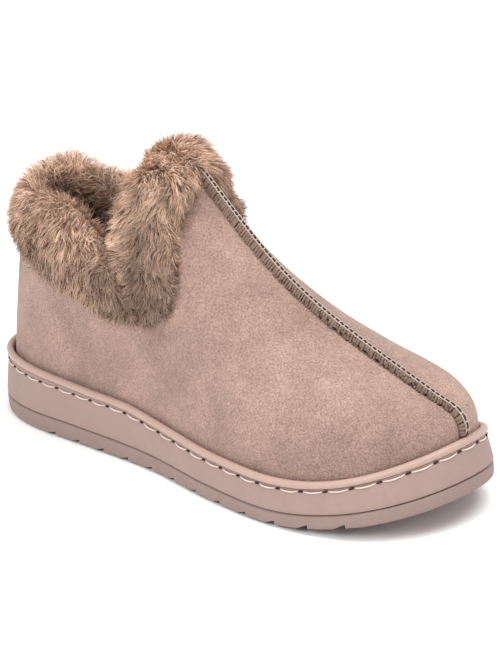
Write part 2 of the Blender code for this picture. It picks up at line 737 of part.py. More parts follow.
def build_vamp_seam(collection, suede):
    """The raised seam along the ridge and down the toe, ribbed by its overcast stitches."""
    start = along_table(CUFF_EDGE, "medial", 1.0) + 0.009
    ridge_turns = np.linspace(start, 1.0, 240)
    toe_heights = np.linspace(1.0, SEAM_END_ON_TOE, 60)[1:]
    turns = np.concatenate([ridge_turns, np.ones_like(toe_heights)])
    heights = np.concatenate([np.ones_like(ridge_turns), toe_heights])
    spine = skin(turns, heights)
    run = np.concatenate([[0.0], np.cumsum(np.linalg.norm(np.diff(spine, axis=0), axis=1))])
    stitches = int(run[-1] / SEAM_STITCH_PITCH)
    places = np.linspace(0, run[-1], 2 * stitches + 1)
    spine = np.stack([np.interp(places, run, spine[:, axis]) for axis in range(3)], axis=-1)
    tangent = unit(np.gradient(spine, axis=0))
    across = stack(0.0, np.ones(len(spine)), 0.0)
    out = unit(np.cross(tangent, across))
    out = out * np.where((out[:, 2:3] + out[:, 0:1]) < 0, -1.0, 1.0)
    rib = SEAM_STITCH_DEPTH * (np.arange(len(spine)) % 2)
    ends = np.clip(np.minimum(places, run[-1] - places) / SEAM_HEIGHT, 0.25, 1)
    rows = []
    profile = ((-0.50, 0.0), (-0.50, 0.60), (-0.30, 1.0), (0.30, 1.0), (0.50, 0.60), (0.50, 0.0))
    for sideways, up in profile:
        wide = sideways * (SEAM_WIDTH - 2 * rib)
        lift = 2 * CLEARANCE + up * ends * (SEAM_HEIGHT - rib)
        rows.append(spine + across * wide[:, None] + out * lift[:, None])
    points, faces = strip_solid(np.stack(rows, axis=1))
    return add_object("vamp_seam", points, faces, suede, collection)


def main():
    for old in list(bpy.data.objects):
        bpy.data.objects.remove(old, do_unlink=True)
    shoe = bpy.data.collections.new("bootie_slipper")
    cutters = bpy.data.collections.new("cutters")
    bpy.context.scene.collection.children.link(shoe)
    bpy.context.scene.collection.children.link(cutters)

    suede = material("taupe_suede", (0.545, 0.375, 0.315), 0.95)
    fur = material("brown_fur", (0.300, 0.175, 0.120), 1.0)
    fleece = material("brown_fleece", (0.330, 0.205, 0.150), 1.0)
    rubber = material("mauve_rubber", (0.365, 0.255, 0.235), 0.6)
    piping = material("taupe_piping", (0.520, 0.370, 0.320), 0.5)
    thread = material("seam_thread", (0.420, 0.290, 0.225), 0.8)

    build_outsole(shoe, cutters, rubber)
    build_midsole(shoe, rubber)
    build_welt(shoe, piping)
    build_insole(shoe, fleece)
    build_upper(shoe, suede)
    gap = 2 * CLEARANCE / COLLAR_LENGTH
    build_cuff("cuff_back", 0.0, LOBE_SPLIT - gap, shoe, fur)
    build_cuff("cuff_front", 1.0, LOBE_SPLIT + gap, shoe, fur)
    build_vamp_seam(shoe, thread)


main()
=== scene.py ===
import math

import bpy
import numpy as np
from mathutils import Matrix, Vector
from mathutils.bvhtree import BVHTree
from mathutils.kdtree import KDTree


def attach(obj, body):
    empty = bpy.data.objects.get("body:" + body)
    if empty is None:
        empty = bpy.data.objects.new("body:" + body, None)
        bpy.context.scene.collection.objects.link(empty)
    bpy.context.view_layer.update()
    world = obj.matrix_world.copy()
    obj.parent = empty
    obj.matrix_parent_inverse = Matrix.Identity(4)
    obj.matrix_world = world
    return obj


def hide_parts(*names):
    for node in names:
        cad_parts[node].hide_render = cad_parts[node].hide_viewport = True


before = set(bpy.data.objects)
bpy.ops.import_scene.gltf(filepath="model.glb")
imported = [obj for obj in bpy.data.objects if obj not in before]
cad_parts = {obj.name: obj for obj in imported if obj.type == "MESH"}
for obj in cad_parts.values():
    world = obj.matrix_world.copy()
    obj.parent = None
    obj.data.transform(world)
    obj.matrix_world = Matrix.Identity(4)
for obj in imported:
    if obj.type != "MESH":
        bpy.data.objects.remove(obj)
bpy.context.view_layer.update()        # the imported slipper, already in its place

# Sizes of the slipper in metres, with its shares and powers. The toe points along +X, the inner side to -Y.
shoe = {
    "soleLength": 0.265,
    "ballWidth": 0.098,
    "treadHeight": 0.0082,
    "heelHeight": 0.0300,
    "toeSpring": 0.0140,
    "heelLift": 0.0018,
    "springStart": 0.70,
    "heelLiftEnd": 0.10,
    "heelRound": 0.194,
    "toeRound": 0.236,
    "endPower": 2.2,
    "wallFlare": 0.0034,
    "beadRadius": 0.0017,
    "bandHeight": 0.0032,
    "clearance": 0.0003,
    "upperWall": 0.0026,
    "instepHeight": 0.1330,
    "collarHeight": 0.1050,
    "collarFromHeel": 0.0240,
    "collarLength": 0.0960,
    "collarWidth": 0.0580,
    "ridgeEndToToe": 0.0200,
    "collarFrontRib": 0.532,
    "toeCrowding": 1.6,
    "vampFrom": 0.6,
    "wallTopShare": 0.6,
}

# Half widths of the sole as shares of the ball width: along, inner side, outer side
solePlan = (
    (0.00, 0.325, 0.352), (0.12, 0.325, 0.355), (0.28, 0.339, 0.366), (0.45, 0.370, 0.410),
    (0.60, 0.450, 0.488), (0.72, 0.487, 0.508), (0.85, 0.472, 0.442), (1.00, 0.460, 0.420),
)
# Height of the piping and of the parting line, as shares of the heel and tread heights
soleSide = (
    (0.00, 1.04, 1.00), (0.15, 0.98, 1.02), (0.30, 0.90, 1.00), (0.38, 0.87, 0.96), (0.46, 0.77, 0.90),
    (0.56, 0.70, 0.85), (0.72, 0.66, 0.78), (0.86, 0.65, 0.78), (1.00, 0.71, 0.82),
)
# Height of the vamp's ridge, as a share of the instep height
ridgeLine = (
    (0.440, 1.000), (0.497, 0.895), (0.562, 0.772), (0.630, 0.660), (0.706, 0.566),
    (0.788, 0.488), (0.870, 0.420), (0.940, 0.363), (1.000, 0.307),
)
# Top line of the shaft from back to front: half width, rise inside, rise outside, share kept at the notch
topLine = (
    (0.00, 0.00, 0.06, 0.06, 1.00), (0.12, 0.38, 0.05, 0.04, 1.00), (0.26, 0.75, 0.02, -0.06, 1.00),
    (0.42, 0.98, 0.04, -0.17, 1.00), (0.53, 1.02, 0.08, -0.14, 0.985), (0.61, 1.01, 0.14, -0.02, 0.915),
    (0.67, 0.98, 0.20, 0.12, 0.820), (0.72, 0.93, 0.28, 0.26, 0.745), (0.77, 0.85, 0.38, 0.38, 0.790),
    (0.85, 0.665, 0.615, 0.61, 0.920), (0.93, 0.40, 0.875, 0.87, 0.985), (1.00, 0.00, 1.00, 1.00, 1.00),
)
# Ribs of the last: lean at the welt, fall from the top inside and outside, pull low and high
ribTable = (
    (0.00, -12.0, 76.0, 76.0, 0.33, 0.33), (0.20, -3.0, 82.0, 82.0, 0.33, 0.33),
    (0.38, 1.0, 80.0, 80.0, 0.33, 0.33), (0.46, 2.0, 64.0, 68.0, 0.34, 0.32),
    (0.532, 2.5, 46.0, 56.0, 0.38, 0.30), (0.65, 3.0, 31.0, 32.0, 0.45, 0.40),
    (0.80, 3.0, 16.0, 6.0, 0.58, 0.48), (1.00, 9.0, 0.0, 0.0, 0.72, 0.50),
)


def smoothTable(rows, column, where):
    # a smooth curve through one column, read against the first
    rows = np.array(rows, float)
    knots, values = rows[:, 0], rows[:, column]
    gaps = np.diff(knots)
    rises = np.diff(values) / gaps
    slopes = np.empty_like(values)
    slopes[0], slopes[-1] = rises[0], rises[-1]
    slopes[1:-1] = (gaps[1:] * rises[:-1] + gaps[:-1] * rises[1:]) / (gaps[1:] + gaps[:-1])
    where = np.clip(np.asarray(where, float), knots[0], knots[-1])
    row = np.clip(np.searchsorted(knots, where, side="right") - 1, 0, len(gaps) - 1)
    gap = gaps[row]
    t = (where - knots[row]) / gap
    start = (1 + 2 * t) * (1 - t) ** 2 * values[row] + t * (1 - t) ** 2 * gap * slopes[row]
    end = t * t * (3 - 2 * t) * values[row + 1] - t * t * (1 - t) * gap * slopes[row + 1]
    return start + end


def smoothStep(t):
    t = np.clip(t, 0.0, 1.0)
    return t * t * (3 - 2 * t)


def unit(vectors):
    return vectors / np.maximum(np.linalg.norm(vectors, axis=-1, keepdims=True), 1e-12)


def runAlong(points):
    return np.concatenate([[0], np.cumsum(np.linalg.norm(np.diff(points, axis=0), axis=1))])


def joined(x, y, z):
    return np.stack(np.broadcast_arrays(x, y, z), axis=-1).astype(float)


# Round the shoe, turn runs from 0 at the back seam over the inner side to 1 at the toe and back to 2
def ribOf(turn):
    turn = np.mod(turn, 2.0)
    return np.where(turn <= 1.0, turn, 2.0 - turn)


def sideOf(turn):
    return np.where(np.mod(turn, 2.0) <= 1.0, -1.0, 1.0)


def shareOf(turn):
    return (1 - np.cos(math.pi * ribOf(turn))) / 2


def shareAt(x):
    return x / shoe["soleLength"] + 0.5


def bySide(side, rows, column, where):
    # a table's column for the inner side, and the next one for the outer side
    return np.where(side < 0, smoothTable(rows, column, where), smoothTable(rows, column + 1, where))


def halfWidth(side, share):
    return shoe["ballWidth"] * bySide(side, solePlan, 1, share)


# Steps over which directions are read: round the shoe, on the skin, and along the ridge in metres
outlineStep, skinStep, ridgeStep = 0.007, 0.002, 0.002


def fullOutline(turn):
    share = shareOf(turn)
    half = halfWidth(sideOf(turn), share)
    power = shoe["endPower"]
    for where, reach in ((share, shoe["heelRound"]), (1 - share, shoe["toeRound"])):
        half = half * (1 - np.clip(1 - where / reach, 0, 1) ** power) ** (1 / power)
    return np.stack([shoe["soleLength"] * (share - 0.5), sideOf(turn) * half], axis=-1)


def outlineAt(turn, inset):
    ahead = fullOutline(np.asarray(turn) + outlineStep)
    behind = fullOutline(np.asarray(turn) - outlineStep)
    along = unit(ahead - behind)
    outward = np.stack([along[..., 1], -along[..., 0]], axis=-1)
    return fullOutline(turn) - outward * np.asarray(inset)[..., None], outward


def springAt(share):
    return shoe["toeSpring"] * np.clip((share - shoe["springStart"]) / (1 - shoe["springStart"]), 0, 1) ** 2


def groundAt(share):
    return springAt(share) + shoe["heelLift"] * np.clip(1 - share / shoe["heelLiftEnd"], 0, 1) ** 2


def partingAt(share):
    return shoe["treadHeight"] * smoothTable(soleSide, 2, share) + springAt(share)


def beadAt(share):
    return shoe["heelHeight"] * smoothTable(soleSide, 1, share) + springAt(share)


def seatAt(share):
    return beadAt(share) - shoe["beadRadius"] - shoe["bandHeight"]


# Along the sole: how far the bead's middle and the stitched crevice lie below the piping line
weltLine = (
    (0.00, 0.0020, 0.0060), (0.15, 0.0021, 0.0060), (0.35, 0.0018, 0.0046),
    (0.60, 0.0014, 0.0041), (0.80, 0.0012, 0.0037), (1.00, 0.0002, 0.0028),
)


def beadLine(share):
    return beadAt(share) - smoothTable(weltLine, 1, share)


def creviceAt(share):
    return beadAt(share) - smoothTable(weltLine, 2, share)


def ridgeHeight(x):
    return shoe["instepHeight"] * smoothTable(ridgeLine, 1, shareAt(x))


collarBack = shoe["collarFromHeel"] - shoe["soleLength"] / 2
collarFront = collarBack + shoe["collarLength"]
wallTopInset = shoe["wallFlare"] * shoe["wallTopShare"]
upperInset = shoe["wallFlare"] + shoe["beadRadius"] + 2 * shoe["clearance"]


def collarPoint(around, side):
    x = collarBack + shoe["collarLength"] * (1 - np.cos(math.pi * around)) / 2
    y = side * shoe["collarWidth"] / 2 * smoothTable(topLine, 1, around)
    rise = bySide(side, topLine, 2, around)
    return joined(x, y, shoe["collarHeight"] + (ridgeHeight(collarFront) - shoe["collarHeight"]) * rise)


def ridgePoint(past):
    end = shoe["soleLength"] / 2 - shoe["ridgeEndToToe"]
    x = collarFront + (end - collarFront) * (1 - (1 - past) ** shoe["toeCrowding"])
    return joined(x, 0.0, ridgeHeight(x))


def ribEnds(turn):
    rib, side, share = ribOf(turn), sideOf(turn), shareOf(turn)
    plan, outward = outlineAt(turn, upperInset)
    base = joined(plan[..., 0], plan[..., 1], seatAt(share) + shoe["clearance"])
    around = np.clip(rib / shoe["collarFrontRib"], 0, 1)
    past = np.clip((rib - shoe["collarFrontRib"]) / (1 - shoe["collarFrontRib"]), 0, 1)
    top = np.where((rib <= shoe["collarFrontRib"])[..., None], collarPoint(around, side), ridgePoint(past))
    lean = np.radians(smoothTable(ribTable, 1, rib))
    rise = joined(outward[..., 0] * np.sin(lean), outward[..., 1] * np.sin(lean), np.cos(lean))
    fall = np.radians(bySide(side, ribTable, 2, rib))
    vamp = smoothStep((around - shoe["vampFrom"]) / (1 - shoe["vampFrom"]))
    towards = unit(outward * (1 - vamp[..., None]) + unit((base - top)[..., :2]) * vamp[..., None])
    x = top[..., 0]
    ridgeFall = (ridgeHeight(x + ridgeStep) - ridgeHeight(x - ridgeStep)) / (2 * ridgeStep)
    steep = (1 - vamp + vamp * np.abs(towards[..., 1])) * np.tan(fall)
    leave = unit(joined(towards[..., 0], towards[..., 1], vamp * towards[..., 0] * ridgeFall - steep))
    return base, rise, top, leave


def skinAt(turn, height):
    # the upper's outer surface, from 0 at the welt to 1 at the top line or ridge
    turn, height = np.broadcast_arrays(np.asarray(turn, float), np.asarray(height, float))
    base, rise, top, leave = ribEnds(turn)
    rib = ribOf(turn)
    span = np.linalg.norm(top - base, axis=-1)[..., None]
    low = base + rise * span * smoothTable(ribTable, 4, rib)[..., None]
    high = top + leave * span * smoothTable(ribTable, 5, rib)[..., None]
    t = height[..., None]
    return base * (1 - t) ** 3 + low * 3 * t * (1 - t) ** 2 + high * 3 * t * t * (1 - t) + top * t**3


def skinOut(turn, height):
    turn, height = np.broadcast_arrays(np.asarray(turn, float), np.asarray(height, float))
    along = skinAt(turn + skinStep, height) - skinAt(turn - skinStep, height)
    up = skinAt(turn, np.minimum(height + skinStep, 1)) - skinAt(turn, np.maximum(height - skinStep, 0))
    out = unit(np.cross(along, up))
    rib = ribOf(turn)
    centred = ((height >= 1) & (rib >= shoe["collarFrontRib"])) | (rib <= 0) | (rib >= 1)
    out[..., 1] = np.where(centred, 0.0, out[..., 1])
    return unit(out)


def keptHeight(turn):
    return smoothTable(topLine, 4, np.clip(ribOf(turn) / shoe["collarFrontRib"], 0, 1))


# Camera and studio
studio = {
    "azimuth": 45.05, "elevation": 20.31, "roll": -4.61, "distance": 1.0, "lookAt": (0, 0, 0.05),
    "sensor": 36.0, "lens": 126.6, "shiftX": 0.0383, "shiftY": 0.0128, "seesFrom": 0.05, "seesTo": 30.0,
    "world": 0.80, "worldColour": (1.0, 0.995, 0.99), "paper": (0.93, 0.93, 0.93), "floorSize": 14,
    "sun": 2.2, "sunAngle": 36.0, "sunFrom": (0.36, 0.06, 1.0),
    "fill": 6.0, "fillSize": 0.6, "fillFrom": (0.05, -0.9, 0.75),
}


def addObject(name, data):
    made = bpy.data.objects.new(name, data)
    bpy.context.scene.collection.objects.link(made)
    return made


def setCamera():
    az, el, roll = (math.radians(studio[name]) for name in ("azimuth", "elevation", "roll"))
    ahead = Vector((-math.sin(az) * math.cos(el), math.cos(az) * math.cos(el), -math.sin(el)))
    level = Vector((math.cos(az), math.sin(az), 0))
    above = level.cross(ahead)
    right = math.cos(roll) * level + math.sin(roll) * above
    up = -math.sin(roll) * level + math.cos(roll) * above
    lens = bpy.data.cameras.new("camera")
    lens.sensor_width, lens.lens = studio["sensor"], studio["lens"]
    lens.shift_x, lens.shift_y = studio["shiftX"], studio["shiftY"]
    lens.clip_start, lens.clip_end = studio["seesFrom"], studio["seesTo"]
    camera = addObject("camera", lens)
    place = Matrix((right, up, -ahead)).transposed().to_4x4()
    place.translation = Vector(studio["lookAt"]) - ahead * studio["distance"]
    camera.matrix_world = place
    bpy.context.scene.camera = camera


def addLight(name, kind, energy, place, target, size):
    light = bpy.data.lights.new(name, kind)
    light.energy = energy
    if kind == "SUN":
        light.angle = math.radians(size)
    else:
        light.shape, light.size = "DISK", size
    lamp = addObject(name, light)
    lamp.location = place
    lamp.rotation_euler = (Vector(target) - Vector(place)).to_track_quat("-Z", "Y").to_euler()


def deselectAll():
    for obj in list(bpy.context.selected_objects):
        obj.select_set(False)


def setStudio():
    world = bpy.data.worlds.new("studio")
    bpy.context.scene.world = world
    world.use_nodes = True
    background = world.node_tree.nodes["Background"]
    background.inputs["Color"].default_value = (*studio["worldColour"], 1)
    background.inputs["Strength"].default_value = studio["world"]
    addLight("overhead", "SUN", studio["sun"], studio["sunFrom"], (0, 0, 0), studio["sunAngle"])
    addLight("nearFill", "AREA", studio["fill"], studio["fillFrom"], studio["lookAt"], studio["fillSize"])
    deselectAll()
    bpy.ops.mesh.primitive_plane_add(size=studio["floorSize"])
    floor = bpy.context.object
    floor.name = "floor"
    paper = bpy.data.materials.new("palePaper")
    paper.use_nodes = True
    shader = paper.node_tree.nodes["Principled BSDF"]
    shader.inputs["Base Color"].default_value = (*studio["paper"], 1)
    shader.inputs["Roughness"].default_value = 0.9
    shader.inputs["Specular IOR Level"].default_value = 0.1
    floor.data.materials.append(paper)
    bpy.context.scene.view_settings.view_transform = "Standard"


print("camera and studio")
setCamera()
setStudio()


# Finishes

def mathNode(tree, operation, *values):
    # a maths node fed with fixed numbers or other nodes' outputs
    node = tree.nodes.new("ShaderNodeMath")
    node.operation = operation
    for socket, value in zip(node.inputs, values):
        if isinstance(value, float):
            socket.default_value = value
        else:
            tree.links.new(value, socket)
    return node.outputs[0]


def layerNode(tree, layer):
    node = tree.nodes.new("ShaderNodeAttribute")
    node.attribute_name = layer
    return node.outputs["Fac"]


def timesTone(tree, colour, tone):
    # a colour, fixed or from another node, times a tone
    node = tree.nodes.new("ShaderNodeMix")
    node.data_type, node.blend_type = "RGBA", "MULTIPLY"
    node.inputs["Factor"].default_value = 1.0
    if isinstance(colour, tuple):
        node.inputs["A"].default_value = (*colour, 1)
    else:
        tree.links.new(colour, node.inputs["A"])
    tree.links.new(tone, node.inputs["B"])
    return node.outputs["Result"]


# The three layers of the patchy tone: socket names, starting values and noise detail
toneLayers = (
    ("Patch Scale", 60.0, "Patch Amount", 0.1, 4.0),
    ("Mottle Scale", 250.0, "Mottle Amount", 0.03, 3.0),
    ("Grain Scale", 900.0, "Grain Amount", 0.1, 2.0),
)
toneKeys = {
    "patchScale": "Patch Scale", "patch": "Patch Amount", "mottleScale": "Mottle Scale",
    "mottle": "Mottle Amount", "grainScale": "Grain Scale", "grain": "Grain Amount",
}


def patchyToneGroup():
    # lighter and darker patches, a mottle and a fine grain, multiplied to a factor round 1
    group = bpy.data.node_groups.new("patchyTone", "ShaderNodeTree")
    group.interface.new_socket(name="Place", in_out="INPUT", socket_type="NodeSocketVector")
    for scale, scaleStart, amount, amountStart, _ in toneLayers:
        for name, start in ((scale, scaleStart), (amount, amountStart)):
            socket = group.interface.new_socket(name=name, in_out="INPUT", socket_type="NodeSocketFloat")
            socket.default_value = start
    for name in ("Tone", "Grain"):
        group.interface.new_socket(name=name, in_out="OUTPUT", socket_type="NodeSocketFloat")
    nodes, links = group.nodes, group.links
    given, made = nodes.new("NodeGroupInput"), nodes.new("NodeGroupOutput")
    product = None
    for scale, _, amount, _, detail in toneLayers:
        noise = nodes.new("ShaderNodeTexNoise")
        noise.inputs["Detail"].default_value = detail
        links.new(given.outputs["Place"], noise.inputs["Vector"])
        links.new(given.outputs[scale], noise.inputs["Scale"])
        centred = mathNode(group, "MULTIPLY_ADD", noise.outputs["Fac"], 4.0, -2.0)
        tone = mathNode(group, "MULTIPLY_ADD", centred, given.outputs[amount], 1.0)
        product = tone if product is None else mathNode(group, "MULTIPLY", product, tone)
    links.new(product, made.inputs["Tone"])
    links.new(noise.outputs["Fac"], made.inputs["Grain"])
    return group


patchyTone = patchyToneGroup()


def patchyNode(tree, look):
    place = tree.nodes.new("ShaderNodeTexCoord")
    node = tree.nodes.new("ShaderNodeGroup")
    node.node_tree = patchyTone
    tree.links.new(place.outputs["Object"], node.inputs["Place"])
    for key, socket in toneKeys.items():
        if key in look:
            node.inputs[socket].default_value = look[key]
    return node


def newSurface(name, roughness, gloss, sheen, sheenTint):
    made = bpy.data.materials.new(name)
    made.use_nodes = True
    shader = made.node_tree.nodes["Principled BSDF"]
    shader.inputs["Roughness"].default_value = roughness
    shader.inputs["Specular IOR Level"].default_value = gloss
    shader.inputs["Sheen Weight"].default_value = sheen
    shader.inputs["Sheen Roughness"].default_value = 0.5
    shader.inputs["Sheen Tint"].default_value = (*sheenTint, 1)
    return made, shader


def newFinish(name, look):
    # a material whose colour is patched and grained, with the grain also as bump
    tint = look.get("sheenTint", look["colour"])
    made, shader = newSurface(name, look["roughness"], look["gloss"], look.get("sheen", 0.0), tint)
    tree = made.node_tree
    patchy = patchyNode(tree, look)
    tone = patchy.outputs["Tone"]
    if "shadeLayer" in look:
        tone = mathNode(tree, "MULTIPLY", layerNode(tree, look["shadeLayer"]), tone)
    tree.links.new(timesTone(tree, look["colour"], tone), shader.inputs["Base Color"])
    bump = tree.nodes.new("ShaderNodeBump")
    bump.inputs["Strength"].default_value = look.get("bump", 0.3)
    bump.inputs["Distance"].default_value = look.get("bumpHeight", 0.0002)
    tree.links.new(patchy.outputs["Grain"], bump.inputs["Height"])
    tree.links.new(bump.outputs["Normal"], shader.inputs["Normal"])
    return made


finishes = {
    "suede": newFinish("taupeSuede", {
        "colour": (0.309, 0.207, 0.170), "roughness": 0.95, "gloss": 0.1, "sheen": 0.30,
        "sheenTint": (0.95, 0.78, 0.70), "patchScale": 60.0, "patch": 0.15, "shadeLayer": "napShade",
        "mottleScale": 270.0, "mottle": 0.08, "grainScale": 1300.0, "grain": 0.36,
        "bump": 1.0, "bumpHeight": 0.0004,
    }),
    "midsole": newFinish("mauveSole", {
        "colour": (0.314, 0.219, 0.195), "roughness": 0.62, "gloss": 0.3, "patchScale": 70.0,
        "patch": 0.03, "grainScale": 1600.0, "grain": 0.02, "bump": 0.12, "bumpHeight": 0.0001,
    }),
    "outsole": newFinish("mauveTread", {
        "colour": (0.272, 0.190, 0.171), "roughness": 0.68, "gloss": 0.3, "patchScale": 90.0,
        "patch": 0.03, "grainScale": 1600.0, "grain": 0.025, "bump": 0.15, "bumpHeight": 0.0001,
    }),
    # painted shade for the recesses of the tread notches
    "treadPaintedShade": newFinish("paintedShadeTread", {
        "colour": (0.040, 0.027, 0.024), "roughness": 0.8, "gloss": 0.1, "patchScale": 90.0,
        "patch": 0.05, "grainScale": 1600.0, "grain": 0.03,
    }),
    "piping": newFinish("taupePiping", {
        "colour": (0.425, 0.292, 0.246), "roughness": 0.42, "gloss": 0.4, "patchScale": 90.0,
        "patch": 0.03, "grainScale": 1500.0, "grain": 0.03, "bump": 0.12, "bumpHeight": 0.0001,
    }),
    "thread": newFinish("creamThread", {
        "colour": (0.640, 0.529, 0.457), "roughness": 0.7, "gloss": 0.3, "patchScale": 400.0,
        "patch": 0.06, "grainScale": 3000.0, "grain": 0.10, "bump": 0.5, "bumpHeight": 0.0002,
    }),
    "wrap": newFinish("beigeWrap", {
        "colour": (0.212, 0.142, 0.110), "roughness": 0.8, "gloss": 0.2, "patchScale": 300.0,
        "patch": 0.12, "grainScale": 2600.0, "grain": 0.12, "bump": 0.6, "bumpHeight": 0.0003,
    }),
    "seamEdge": newFinish("paleSeamEdge", {
        "colour": (0.433, 0.344, 0.296), "roughness": 0.8, "gloss": 0.2, "patchScale": 300.0,
        "patch": 0.08, "grainScale": 2600.0, "grain": 0.10, "bump": 0.5, "bumpHeight": 0.0002,
    }),
    # painted shade: the core is dark so that the gaps between the wraps read as shade
    "seamCore": newFinish("seamCorePaintedShade", {
        "colour": (0.130, 0.086, 0.066), "roughness": 0.9, "gloss": 0.1, "patchScale": 300.0,
        "patch": 0.12, "grainScale": 1500.0, "grain": 0.1, "bump": 0.5, "bumpHeight": 0.0002,
    }),
    # painted shade: a near black finish for plugs that stand in for the shade inside stitch holes
    "holeShade": newFinish("stitchHoleShade", {
        "colour": (0.048, 0.029, 0.023), "roughness": 0.9, "gloss": 0.1, "patchScale": 300.0,
        "patch": 0.1, "grainScale": 1500.0, "grain": 0.1,
    }),
    "fleece": newFinish("brownFleece", {
        "colour": (0.120, 0.070, 0.049), "roughness": 1.0, "gloss": 0.05, "sheen": 0.2, "patchScale": 160.0,
        "patch": 0.16, "grainScale": 520.0, "grain": 0.2, "bump": 1.0, "bumpHeight": 0.0012,
    }),
    "undercoat": newFinish("brownUndercoat", {
        "colour": (0.285, 0.186, 0.135), "roughness": 1.0, "gloss": 0.05, "patchScale": 160.0,
        "patch": 0.15, "grainScale": 700.0, "grain": 0.2, "bump": 1.0, "bumpHeight": 0.0010,
    }),
}


# Modelling
weldGap, cadWeldGap = 1e-6, 2e-5
smoothUpTo = math.radians(50)


def setMode(obj, mode):
    bpy.context.view_layer.objects.active = obj
    bpy.ops.object.mode_set(mode=mode)


def turnOutward(piece):
    setMode(piece, "EDIT")
    bpy.ops.mesh.select_all(action="SELECT")
    bpy.ops.mesh.normals_make_consistent(inside=False)
    setMode(piece, "OBJECT")


def readPoints(mesh, key="co"):
    # a mesh's points, or with the key "normal" its normals there
    values = np.empty(len(mesh.vertices) * 3)
    mesh.vertices.foreach_get(key, values)
    return values.reshape(-1, 3)


def writePoints(mesh, points):
    mesh.vertices.foreach_set("co", np.asarray(points, float).ravel())
    mesh.update()


def addLayer(mesh, name, values):
    layer = mesh.attributes.new(name, "FLOAT", "POINT")
    layer.data.foreach_set("value", values.astype(np.float32))


def surfaceOf(mesh):
    points = [vertex.co.copy() for vertex in mesh.vertices]
    return BVHTree.FromPolygons(points, [face.vertices for face in mesh.polygons])


def nearestTree(places):
    tree = KDTree(len(places))
    for k, place in enumerate(places):
        tree.insert(Vector(place), k)
    tree.balance()
    return tree


def nearest(tree, points):
    return np.array([tree.find(Vector(point))[1] for point in points])


def wrapGrid(name, columns, rows, place, finish):
    # a flat grid laid over a shape: place(u, v) says where each of its points goes, u and v from 0 to 1
    deselectAll()
    bpy.ops.mesh.primitive_grid_add(x_subdivisions=columns, y_subdivisions=rows, size=1.0)
    piece = bpy.context.object
    piece.name = piece.data.name = name
    flat = readPoints(piece.data) + 0.5
    writePoints(piece.data, place(np.clip(flat[:, 0], 0, 1), np.clip(flat[:, 1], 0, 1)))
    piece.data.uv_layers.remove(piece.data.uv_layers[0])
    setMode(piece, "EDIT")
    bpy.ops.mesh.select_all(action="SELECT")
    bpy.ops.mesh.remove_doubles(threshold=weldGap)
    bpy.ops.mesh.dissolve_degenerate(threshold=weldGap)
    bpy.ops.mesh.normals_make_consistent(inside=False)
    setMode(piece, "OBJECT")
    piece.data.materials.clear()
    piece.data.materials.append(finish)
    bpy.ops.object.shade_smooth_by_angle(angle=smoothUpTo)
    return piece


def applyModifier(piece, kind, **settings):
    deselectAll()
    piece.select_set(True)
    bpy.context.view_layer.objects.active = piece
    modifier = piece.modifiers.new(kind.lower(), kind)
    for key, value in settings.items():
        setattr(modifier, key, value)
    bpy.ops.object.modifier_apply(modifier=modifier.name)


def settle(piece, slot, *nodes):
    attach(piece, "root")
    if nodes:
        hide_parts(*nodes)
    return piece


def bentRods(name, paths, radii, finish, sides=8):
    # round threads along paths: (rods, points, 3), with the radius at each point, closed at both ends
    paths = np.asarray(paths, float)
    rods, count = paths.shape[:2]
    along = unit(np.gradient(paths, axis=1))
    spare = np.where(np.abs(along[..., 2:3]) > 0.9, (1.0, 0.0, 0.0), (0.0, 0.0, 1.0))
    across = unit(np.cross(along, spare))
    over = np.cross(across, along)
    turns = np.arange(sides) * 2 * math.pi / sides
    radii = np.broadcast_to(np.asarray(radii, float), (rods, count))[..., None, None]
    ring = across[:, :, None] * np.cos(turns)[:, None] + over[:, :, None] * np.sin(turns)[:, None]
    points = paths[:, :, None] + ring * radii
    faces = []
    for rod in range(rods):
        first = rod * count * sides
        for k in range(count - 1):
            for j in range(sides):
                a, b = first + k * sides, first + (k + 1) * sides
                faces.append((a + j, a + (j + 1) % sides, b + (j + 1) % sides, b + j))
        faces.append([first + j for j in reversed(range(sides))])
        faces.append([first + (count - 1) * sides + j for j in range(sides)])
    mesh = bpy.data.meshes.new(name)
    mesh.from_pydata(points.reshape(-1, 3).tolist(), [], faces)
    piece = addObject(name, mesh)
    turnOutward(piece)
    mesh.materials.append(finish)
    mesh.shade_smooth()
    return piece


def roundEnds(radius, t, least):
    # radii of a short plug along t from -0.5 to 0.5, drawn in at its ends
    return radius * np.sqrt(np.clip(1 - (2 * t) ** 2, least, 1))


# Sole: profiles are rows of inset and height, from the middle of the top to the middle of the bottom
onSpine = 9.0  # an inset this large puts a row on the sole's middle line
tread = {
    "columns": 288, "smoothUpTo": 40.0, "edgeRadius": 0.0020, "groove": 0.0007, "grooveRadius": 0.0004,
    "sideLift": 0.001,
    "notchPitch": 0.0162, "notchDepth": 0.0026, "notchRamp": 0.0075, "notchReach": 0.0140,
    "firstNotch": 0.0543, "lastNotch": 0.0300, "cutterDepth": 0.01, "shadeFrom": 0.00025, "shadePast": 0.0004,
    "rampFacing": -0.8, "stepFacing": 0.9, "wallFacing": 0.7,
    "topRadius": 0.0007, "topLedge": 0.004, "wallCurve": 1.25,
}


def tierPlace(profile):
    insets = np.array([row[0] for row in profile], float)
    spineLength = shoe["soleLength"] - 2 * insets[insets < onSpine].max()

    def place(u, v):
        turn = 2 * u
        share = shareOf(turn)
        row = v * (len(profile) - 1)
        low = np.clip(np.floor(row + 1e-6).astype(int), 0, len(profile) - 2)
        t = row - low
        heights = np.stack([height(share) + 0 * share for _, height in profile])
        inset = insets[low] * (1 - t) + insets[low + 1] * t
        z = heights[low, np.arange(len(low))] * (1 - t) + heights[low + 1, np.arange(len(low))] * t
        onSheet = inset < onSpine / 2
        plan, _ = outlineAt(turn, np.where(onSheet, inset, 0))
        spine = np.stack([spineLength * (share - 0.5), 0 * share], axis=-1)
        plan = np.where(onSheet[:, None], plan, spine)
        return joined(plan[:, 0], plan[:, 1], z)

    return place


